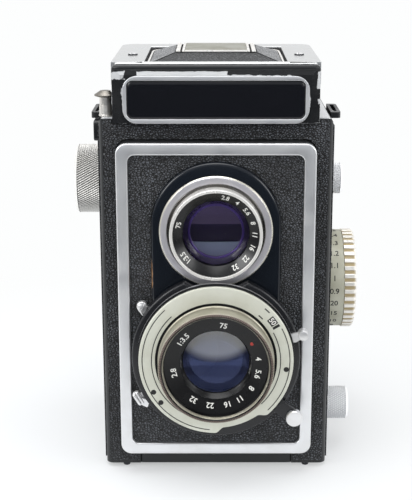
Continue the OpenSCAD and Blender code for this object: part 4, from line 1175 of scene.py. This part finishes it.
def screw_head(at, facing, radius, slot_turn):
    """A slotted screw head: a low dome on a polar grid, sunk by a step within the slot's width."""
    out = np.linspace(0, radius, 22)[:, None]
    angle = full_turn(96)[None, :]
    across = out * np.sin(angle - np.radians(slot_turn))
    dome = DOME * (1 - (out / radius) ** 2) + DOME_FOOT
    height = np.where(np.abs(across) < SLOT_HALF, SLOT_FLOOR, dome)
    flat = np.concatenate([polar(out, angle), height[..., None]], -1)
    foot = flat[-1:] * [1, 1, 0]
    return loft(put(np.vstack([flat, foot]), at, facing))


# %% Levers
SYNC, APERTURE, SPEED, COCK = 146, 211, 17.4, -38
PIN_OUT, BUTTON_OUT = 30.0, 33.2

sync_f = reach("sync_lever")[0]
drop = teardrop(np.array([29.7, -0.1]), 1.75, np.array([26.9, 2.7]))
sync_lever = [
    ring_shell(REAR_RING, sync_f),
    arm_shell(bar(22.3, 30, 1.0), SYNC, sync_f, RING_T),
    flat_shell(drop, SYNC, sync_f, 2.0, 0.45),
    screw_head(spot_at(29.8, SYNC, sync_f + 1.9), "front", 1.2, 60),
]
piece("sync_lever_drop", sync_lever, bright_steel, "sync_lever")

aperture_f = reach("aperture_lever")[0]
tail = [(29.5, 0.4), (27.9, 2.4), (29.5, 3.9), (30.5, 2.3)]
aperture_lever = [
    ring_shell(REAR_RING, aperture_f),
    arm_shell(bar(22.3, 31, 1.2), APERTURE, aperture_f, RING_T),
    arm_shell(bar(29.2, 31.8, 2.5), APERTURE, aperture_f, 1.5, 1.0),
    arm_shell(tail, APERTURE, aperture_f + 0.4, 1.5, 0.3),
]
for ridge in (29.5, 30.6):
    ridge_bar = bar(ridge, ridge + 0.8, 2.2)
    aperture_lever.append(arm_shell(ridge_bar, APERTURE, aperture_f + 1.2, 1.1, 0.3, 0.25))
piece("aperture_lever_grip", aperture_lever, bright_steel, "aperture_lever")

speed_f = reach("speed_lever")[0]
pin = lifted([(0, 0), (1.65, 0), (1.65, 3.4), (1.5, 3.65), (1.3, 3.7), (0, 3.7)], speed_f)
lug = [(25.6, 0.9), (28.6, 0.9), (30, 0.3), (30, -0.5), (28.7, -1.5), (27.0, -1.9), (25.6, -1.5)]
speed_lever = [
    ring_shell(FRONT_RING, speed_f),
    arm_shell(lug, SPEED, speed_f, 1.4, 0.2),
    knob_shell(PIN_OUT, SPEED, pin),
]
piece("speed_lever_pin", speed_lever, bright_steel, "speed_lever")

cock_f = reach("cocking_lever")[0]
cock_arm = [ring_shell(FRONT_RING, cock_f), arm_shell(bar(25.6, BUTTON_OUT, 2.4), COCK, cock_f, RING_T)]
piece("cocking_lever_arm", cock_arm, case_black, "cocking_lever")
button = lifted([(0, 0), (2.75, 0), (2.75, 2.1), (2.5, 2.45), (2.0, 2.5), (0, 2.4)], cock_f)
piece("cocking_lever_button", [knob_shell(BUTTON_OUT, COCK, button)], bright_steel, on="cocking_control")

# %% [markdown]
# ## Knobs
#
# The winding knob is cut with a knurl of two families of slanting grooves, one much deeper than the other,
# so the height is the smaller of two triangle waves that run opposite ways round. The spool knobs have both
# families alike, which gives diamonds, and the focusing grip has straight ribs. The grooves hold grime, so
# the same wave goes to the mesh as its groove number. Fine rings on the flat ends are left by the lathe.

# %% Knurls


def wave(turns):
    """A triangle wave between 0 at a groove and 1 at a crest."""
    return 1 - np.abs(2 * (turns % 1) - 1)


def diamond(teeth, pitch, deep, zone, cross=1.0):
    """A knurl as a cut by angle and depth: the lower of two slanting waves, the second as deep as cross."""
    def cut(angle, depth, radius):
        around, along = teeth * angle / (2 * np.pi), depth / (2 * pitch)
        crest = np.minimum(wave(around + along), 1 - cross * (1 - wave(around - along)))
        return -deep * (1 - crest) * ((depth > zone[0]) & (depth < zone[1]) & (radius > zone[2]))
    return cut


def lathe_rings(outer, inner, depth, pitch=0.8, deep=0.12):
    """Profile points inwards over a flat end, with the fine ring grooves that a turning tool leaves."""
    count = int((outer - inner) / pitch)
    crests = outer - (outer - inner) * np.arange(count) / count
    return [(r, f) for crest in crests for r, f in ((crest, depth), (crest - 0.4 * pitch, depth - deep))]


def along_wall(radius, start, end, step):
    """Profile points up a straight wall, close enough together for its knurl."""
    depth = np.linspace(start, end, max(2, int(np.ceil((end - start) / step)) + 1))
    return [(radius, d) for d in depth]


def knob_box(name, end):
    """A knob's radius, width and the middle of its inner face; end is 1 on the left side, 0 on the right."""
    wide, _, tall = size(name)
    return tall / 2, wide, np.array([span(name)[end][0], *middle(name)[1:]])


# %% Winding knob
WIND_MORE, WIND_DEEP, WIND_TEETH, WIND_CROSS = 0.7, 0.42, 88, 0.3
AXLE_R = 2.6

wind_r, wide, wind_at = knob_box("wind_knob", 1)
wide += WIND_MORE
wind_profile = [
    (AXLE_R, 0), (wind_r - 0.7, 0), *along_wall(wind_r, 0.7, wide - 1, 0.17), (wind_r - 1, wide),
    (wind_r - 2.4, wide), *lathe_rings(wind_r - 2.9, 4.6, wide - 0.5), (4.2, wide - 0.5),
    (3.8, wide - 0.1), (0, wide - 0.1), (0, wide - 1.6), (AXLE_R, wide - 1.6),
]
wind_cut = diamond(WIND_TEETH, 0.8, WIND_DEEP, (0.8, wide - 1.05, wind_r - 0.1), WIND_CROSS)
knurled("knurled_wind_knob", wind_profile, wind_at, "left", 8 * WIND_TEETH, wind_cut, WIND_DEEP,
        knurled_nickel, "wind_knob")

# %% Focusing dial and grip
RIBS, RIB_DEEP = 40, 0.55
DRUM_MORE = 0.9
DISTANCES = ["0.9", "1", "1.1", "1.2", "1.3", "1.4", "1.5", "1.6", "1.8", "2", "2.2", "2.5", "2.8", "3",
             "3.5", "4", "4.5", "5", "6", "7", "8", "10", "15", "20"]

dial_r, dial_wide, dial_at = knob_box("focus_dial", 0)
dial_wide += DRUM_MORE
dial_profile = [(AXLE_R, 0), (dial_r - 0.4, 0), (dial_r, 0.4), (dial_r, dial_wide - 0.2),
                (dial_r - 0.3, dial_wide), (AXLE_R, dial_wide)]
lathe("cream_focus_dial", dial_profile, dial_at, "right", dial_cream, "focus_dial", soft=0.15,
      turns=FINE_TURNS)

grip_r, grip_wide, grip_at = knob_box("focus_grip", 0)
grip_wide -= DRUM_MORE
grip_at[0] += DRUM_MORE


def ribs(angle, depth, radius):
    """Straight ribs: flat crests and flat-bottomed flutes, open to the drum, from a clipped cosine."""
    flute = np.clip((0.1 - np.cos(RIBS * angle)) / 0.5, 0, 1)
    return -RIB_DEEP * flute * ((depth < grip_wide - 0.5) & (radius > grip_r - 0.9))


grip_profile = [
    (AXLE_R, 0), (grip_r, 0), (grip_r, 0.45), *along_wall(grip_r, 0.55, grip_wide - 0.9, 0.8),
    (grip_r - 0.6, grip_wide - 0.2), (grip_r - 1.1, grip_wide), (grip_r - 3, grip_wide),
    *lathe_rings(grip_r - 3.4, 5.4, grip_wide - 0.4), (5, grip_wide - 0.4), (4.6, grip_wide),
    (0, grip_wide), (0, grip_wide - 1.5), (AXLE_R, grip_wide - 1.5),
]
knurled("ribbed_focus_grip", grip_profile, grip_at, "right", 16 * RIBS, ribs, RIB_DEEP, ribbed_nickel,
        "focus_grip")


def on_drum(text, height, angle):
    """Figures bent round the focusing dial: across runs along its axle, up is an angle round it."""
    points, faces = figures(text, height)
    x, y, z = points.T
    ring = polar(dial_r + z, np.radians(angle) + y / dial_r) * [-1, 1]
    return put(np.column_stack([ring, dial_wide * 0.4 + x]), dial_at, "right"), faces


dial_turns = np.arange(len(DISTANCES)) * 360 / len(DISTANCES)
dial_figures = [on_drum(text, 2.0, angle) for text, angle in zip(DISTANCES, dial_turns)]
piece("focus_dial_figures", dial_figures, black_marks, on="focus_knob")

# %% Spool knobs
SPOOL_TEETH, SPOOL_DEEP, HEAD_OUT = 52, 0.22, 1.1

for solid in ("upper_spool_knob", "lower_spool_knob"):
    r, full, knob_at = knob_box(solid, 0)
    head = span("body_shell")[1][0] + HEAD_OUT - knob_at[0]
    profile = [
        (0, 0), (2.4, 0), (2.9, 0.6), (2.9, head), (r - 0.5, head),
        *along_wall(r, head + 0.5, full - 0.8, 0.14), (r - 0.8, full), (r - 1.6, full),
        *lathe_rings(r - 1.9, 0.8, full - 0.3, 0.7), (0, full - 0.3),
    ]
    cut = diamond(SPOOL_TEETH, 0.7, SPOOL_DEEP, (head + 0.6, full - 0.85, r - 0.1))
    knurled("fine_" + solid, profile, knob_at, "right", 6 * SPOOL_TEETH, cut, SPOOL_DEEP, bright_knurl,
            solid)

# %% [markdown]
# ## Shutter release
#
# A thin plunger with a sleeve slides in a fixed collar on the shoulder. Its cap is a low cone, dulled by the
# finger and filed flat where it faces the hood. The sleeve starts above the collar's seat, so the plunger
# can go down.

# %% Shutter release
CAP_TALL, CAP_R, SLEEVE_R, STEM_R = 2.2, 3.6, 2.0, 1.45
COLLAR_R, COLLAR_TALL = (2.03, 2.12, 2.3), 3.6
RELEASE_TURNS = 64

low, high = span("release_button")
release_at = np.array([low[0] + CAP_R, middle("release_button")[1], low[2]])
tall = high[2] - low[2]
top_face = span("shoulder_plate")[1][2]
sleeve_foot = top_face + 3.4 - low[2]
cap_foot = tall - CAP_TALL
plunger = [(0, 2.4), (STEM_R, 2.4), (STEM_R, sleeve_foot), (SLEEVE_R, sleeve_foot), (SLEEVE_R, cap_foot),
           (0, cap_foot)]
lathe("release_plunger", plunger, release_at, "up", release_nickel, "release_button", turns=RELEASE_TURNS,
      ring=False)
cap = [(0, cap_foot), (SLEEVE_R, cap_foot), (CAP_R, cap_foot + 0.5), (CAP_R, cap_foot + 0.9),
       (1.7, tall - 0.05), (0, tall - 0.12)]
points, faces = turned(cap, release_at, "up", RELEASE_TURNS, ring=False)
points[:, 0] = np.minimum(points[:, 0], high[0])
piece("release_cap", [(points, faces)], release_cap, on="release")
collar_at = np.array([*release_at[:2], top_face])
collar = [(COLLAR_R[0], 0), (COLLAR_R[2], 0), (COLLAR_R[2], 0.4), (COLLAR_R[1], 0.55),
          (COLLAR_R[1], COLLAR_TALL), (COLLAR_R[0], COLLAR_TALL)]
lathe("release_collar", collar, collar_at, "up", release_nickel, soft=0.05, turns=RELEASE_TURNS, on="body")

# %% [markdown]
# ## Finder hood
#
# The folded hood is a black box with a rolled edge above its front wall. On that wall a satin rim holds a
# pillow-shaped black plate. The plate stays bare. Behind the wall runs the bright line of the lid's hinge.
# On top lies the polished lid, with a hipped leatherette flap in it, two screws, and a dull plate on the
# flap. The flap's sides could be faces of one solid; here its outline is lofted up to the plate's, so the
# corners stay crisp, and the lighter sides, a painted sheen, and the dark creases, painted shade, can
# follow the same points.

# %% Hood
BEAD_R, BEAD_UP, BEAD_BACK, BEAD_FLAT = 1.1, 2.45, 0.35, 0.9
# Each end of the rolled edge: way in from the side, back, up, and share of the full thickness
BEAD_END = [(0.1, 1.7, -1.3, 0.5), (0.15, 1.5, -0.6, 0.8), (0.7, 1.25, -0.12, 1)]
BEAD_HALF, BEAD_Y = 31.0, 0.85

eased("chipped_hood_box", "hood_base", hood_enamel, 0.3)
eased("polished_lid_plate", "hood_lid", polished_lid, 0.45, 3)
wall_x, wall_top = hood_high[0], hood_high[2]
bead_path = [(x - wall_x, y, z, share) for x, y, z, share in BEAD_END]
bead_path += [(-BEAD_HALF, BEAD_Y, 0, 1), (BEAD_HALF, BEAD_Y, 0, 1)]
bead_path += [(wall_x - x, y, z, share) for x, y, z, share in BEAD_END[::-1]]
bead_turn = full_turn(40)
bead = []
for x, y, z, share in bead_path:
    bead_y = wall_y + y - BEAD_FLAT * BEAD_R * share * np.cos(bead_turn) + BEAD_BACK
    bead_z = rim_high[2] + BEAD_UP + z + BEAD_R * share * np.sin(bead_turn)
    bead.append(np.column_stack([np.full(len(bead_turn), x), bead_y, bead_z]))
piece("rolled_hood_edge", [loft(np.array(bead))], body_enamel, on="body")

# %% Hinge line
RAIL_HALF, KNUCKLE_R, KNUCKLE_X = 32.3, 1.36, (24.3, 32.6)

lid_top = span("hood_lid")[1][2]
hinge_y, hinge_z = wall_y + 3.9, lid_top - 1.4
rail = rounded_rect(RAIL_HALF, 0.38, 0.3)
rail_at = np.array([0, wall_y + 2.1, wall_top - 0.6])
rail_edge = rounded_edge(0, lid_top + 0.05 - rail_at[2], 0.2)
knuckle_long = KNUCKLE_X[1] - KNUCKLE_X[0]
knuckle = [(0, 0), (KNUCKLE_R, 0), (KNUCKLE_R, knuckle_long), (0, knuckle_long)]
hinge_line = [slab(rail, rail_edge, rail_at, "up")]
for x, facing in ((KNUCKLE_X[0], "right"), (-KNUCKLE_X[0], "left")):
    hinge_line.append(turned(knuckle, [x, hinge_y, hinge_z], facing, 32, ring=False))
piece("bright_hinge_line", hinge_line, polished_lid, on="body")

# %% Nameplate
RIM_MORE, RIM_ROUND, RIM_EDGE = 0.3, 4.7, 0.14
PLATE_GAP, PLATE_ROUND = 0.1, 2
PILLOW = [(0, 0), (0, 0.06), (0.06, 0.16), (0.2, 0.27), (0.4, 0.37), (0.6, 0.44), (0.8, 0.48), (1.0, 0.5),
          (1.1, 0.5), (4.5, 0.5)]

half = size("nameplate_rim") / 2
plate_half = size("nameplate") / 2
rim_at = np.array([0, rim_high[1], middle("nameplate_rim")[2]])
rim_outer = rounded_rect(half[0] + RIM_MORE, half[2], RIM_ROUND, 14)
rim_inner = rounded_rect(plate_half[0] + PLATE_GAP, plate_half[2] + PLATE_GAP, PLATE_ROUND, 14)
rim_edge = rounded_edge(0, rim_high[1] - rim_low[1], RIM_EDGE)
rim_shell = rimmed(rim_outer, rim_inner, rim_edge, rim_at, "front")
piece("satin_nameplate_rim", [rim_shell], satin_aluminium, "nameplate_rim")
plate_at = np.array([0, span("nameplate")[1][1], middle("nameplate")[2]])


def plate_outline(inset):
    """The plate's rounded rectangle, drawn in by the inset with its corners kept round."""
    return rounded_rect(plate_half[0] - inset, plate_half[2] - inset, max(PLATE_ROUND - inset, 0.6), 14)


pillow_shell = slab(plate_outline, PILLOW, plate_at, "front")
piece("bare_pillow_nameplate", [pillow_shell], plate_lacquer, "nameplate", sharp=60)

# %% Lid flap
FLAP_CORNERS = np.array([[8.0], [8.0], [1.0], [1.0]])
EDGE_DOWN, WELL_DOWN = 0.9, 0.5
WELL_MORE = (1.48, 0.58)
CREASE = np.array([[-0.22, 0, -0.1], [0.22, 0, -0.1], [0.22, 0, 0.08], [-0.22, 0, 0.08]])
SKIN_UP, SKIN_DOWN = np.array([0, 0, 0.05]), np.array([0, 0, -0.1])
LEFT_SIDE, RIGHT_SIDE = np.r_[13:23], np.r_[31:36, 0:5]

flap_low, flap_high = span("lid_leatherette")
flap_half, flap_mid = size("lid_leatherette") / 2, middle("lid_leatherette")
tab_half, tab_mid = size("lid_tab") / 2, middle("lid_tab")
edge_z = lid_top - EDGE_DOWN
well_z = lid_top - WELL_DOWN


def at_height(line, centre, height):
    """A closed line about a centre, at that height."""
    return np.column_stack([line + centre[:2], np.full(len(line), height)])


def flap_loop(grow, height):
    """The flap's outline, square in front and round behind, grown outwards, at that height."""
    line = rounded_rect(flap_half[0] + grow, flap_half[1] + 0.55 * grow, FLAP_CORNERS + grow)
    return at_height(line, flap_mid, height)


def crown_loop(grow, height):
    """The outline of the flat under the emblem plate, grown outwards, at that height."""
    return at_height(rounded_rect(tab_half[0] + grow, tab_half[1] + grow, 0.6), tab_mid, height)


hip = [flap_loop(0, flap_low[2]), flap_loop(0, edge_z), flap_loop(-0.3, edge_z + 0.25),
       crown_loop(0.6, flap_high[2] - 0.08), crown_loop(0.1, flap_high[2])]
piece("hipped_lid_flap", [loft(np.array(hip))], leatherette, "lid_leatherette", sharp=12)
lower, upper = hip[2], hip[3]


def facet(turns):
    """A thin skin of lighter leatherette over one side of the hip, a painted sheen, between those points of
    its lower and upper outline.
    """
    low, high = lower[turns], upper[turns]
    return loft(np.stack([low + SKIN_DOWN, low + SKIN_UP, high + SKIN_UP, high + SKIN_DOWN], 1))


def crease(turn):
    """A painted shade line down the hip at one corner: a dark square section carried from the lower outline
    up.
    """
    return loft(np.array([lower[turn] + CREASE, upper[turn] + CREASE]))


piece("sheen_painted_flap_sides", [facet(LEFT_SIDE), facet(RIGHT_SIDE)], sheen_lit_leather, on="lid")
# Black lines at the two front corners of the hip: painted shade in the creases.
piece("painted_shade_flap_creases", [crease(LEFT_SIDE[-1]), crease(RIGHT_SIDE[0])], black_paint_and_shade, on="lid")
strip_section = [(0.05, flap_low[2]), (0.75, flap_low[2]), (0.75, edge_z + 0.2), (0.6, edge_z + 0.35),
                 (0.2, edge_z + 0.35), (0.05, edge_z + 0.2)]
strip = [flap_loop(grow, height) for grow, height in strip_section]
piece("bright_flap_border", [loft(np.array(strip), ring=True)], white_plate, on="lid")
# A black ring fills the gap round the flap up to just below the lid's face: painted shade in that gap.
well = rounded_rect(flap_half[0] + WELL_MORE[0], flap_half[1] + WELL_MORE[1], 0.5)
flap_gap_shade = [flap_loop(0.76, flap_low[2]), at_height(well, flap_mid, flap_low[2]),
              at_height(well, flap_mid, well_z), flap_loop(0.76, well_z)]
piece("painted_shade_flap_gap", [loft(np.array(flap_gap_shade), ring=True)], black_paint_and_shade, on="lid")

# %% Emblem plate
FIELD_X, SIDE_TABS = 10.6, ((10.65, 11.55), (12.2, 13.6))

emblem_at = np.array([0, tab_mid[1], span("lid_tab")[0][2]])
thick = 2 * tab_half[2]
field = slab(rounded_rect(FIELD_X, tab_half[1], 0.5), rounded_edge(0, thick, 0.25), emblem_at, "up")
piece("bare_emblem_plate", [field], bare_emblem, "lid_tab")
tabs = []
for near, far in SIDE_TABS:
    tab = rounded_rect((far - near) / 2, tab_half[1], 0.3)
    for side in (-1, 1):
        tab_at = emblem_at + [side * (near + far) / 2, 0, 0]
        tabs.append(slab(tab, rounded_edge(0, thick, 0.15), tab_at, "up"))
line_at = emblem_at + [0, -tab_half[1] + 0.1, 0]
tabs.append(slab(rounded_rect(FIELD_X, 0.35, 0.2), rounded_edge(0, thick + 0.05, 0.15), line_at, "up"))
piece("emblem_side_tabs", tabs, white_plate, on="lid")
gap = rounded_rect(tab_half[0] + 0.2, tab_half[1] + 0.45, 0.3)
gap_shell = slab(gap, [(0, -0.05), (0, 0.15)], emblem_at, "up")
piece("emblem_shadow_gap", [gap_shell], black_paint_and_shade, on="lid")

# %% Lid screws
SCREW_R, SCREW_TALL = 1.65, 0.4
SCREW_X, SCREW_Y = 28.3, 0.0

# The heads' sides are a dark metal and their tops bright: the dark sides are painted shade.
side_wall = [(0, -0.2), (SCREW_R, -0.2), (SCREW_R, SCREW_TALL - 0.05), (SCREW_R - 0.15, SCREW_TALL),
             (0, SCREW_TALL)]
screw_spots = [np.array([side * SCREW_X, SCREW_Y, lid_top]) for side in (-1, 1)]
screw_walls = [turned(side_wall, spot, "up", 48, ring=False) for spot in screw_spots]
piece("shaded_lid_screw_sides", screw_walls, dark_alloy_and_shade, on="lid")
tops = [screw_head(spot + [0, 0, SCREW_TALL - 0.1], "up", SCREW_R - 0.3, 75) for spot in screw_spots]
piece("lid_screws", tops, bright_steel, on="lid", sharp=25)

# %% [markdown]
# ## Back, base and inside
#
# The back and the base are one hinged door. Its lock ring turns round the threaded tripod bush. What lies
# inside shows only when the door or the hood is open, and keeps its solids, each in its own finish.

# %% Back and base
SEAM_X, SEAM_F, SEAM_UP = 26.25, (-3.0, -0.95), 1.8
THREAD_R, THREAD_PITCH, THREAD_DEEP = 2.55, 1.27, 0.4
BUSH_R, LIP_R, LIP_Z = 5.5, 7.5, (3.0, 3.8)

eased("rounded_back_door", "door_panel", body_enamel, 0.35)
# Two black plates in the seams at the front of the base: painted shade in those gaps.
seam = rounded_rect(0.35, 1.75, 0.1)
seam_z = foot_high[2] + SEAM_UP
seam_edge = [(0, depth) for depth in SEAM_F]
seam_shade_plates = [slab(seam, seam_edge, [x, front, seam_z], "front") for x in (-SEAM_X, SEAM_X)]
piece("painted_shade_door_seams", seam_shade_plates, black_paint_and_shade, on="body")
bush_at = np.array([*middle("tripod_bush")[:2], span("tripod_bush")[0][2]])
bush_tall = size("tripod_bush")[2]
crests = np.arange(0.7, bush_tall - 1.0, THREAD_PITCH / 2)
thread = [(THREAD_R + THREAD_DEEP * (i % 2), z) for i, z in enumerate(crests)]
bush = [(0, bush_tall - 0.8), (THREAD_R, bush_tall - 0.8), *thread[::-1], (3.0, 0), (BUSH_R - 0.3, 0),
        (BUSH_R, 0.3), (BUSH_R, LIP_Z[0]), (LIP_R, LIP_Z[0]), (LIP_R, LIP_Z[1]), (BUSH_R, LIP_Z[1]),
        (BUSH_R, bush_tall), (0, bush_tall)]
lathe("threaded_tripod_bush", bush, bush_at, "up", bright_steel, "tripod_bush", turns=72, ring=False)
eased("rounded_lock_ring", "lock_ring", bright_steel, 0.2)

# %% Inside
dress(black_paint_and_shade, "chamber_casting", "pressure_plate", "magnifier_frame")
dress(body_enamel, "hood_left_panel", "hood_right_panel", "hood_back_panel")
dress(bright_steel, "film_roller_upper", "film_roller_lower", "guide_rods", "focus_rack", "focus_shaft",
      "wind_shaft", "bushes", "hinge_pins")
dress(spring_steel, "release_spring", "pressure_springs")
dress(spool_lacquer, "take_up_spool")
dress(ground_glass, "focusing_screen")
dress(mirror_silver, "reflex_mirror")
dress(clear_glass, "magnifier_lens")
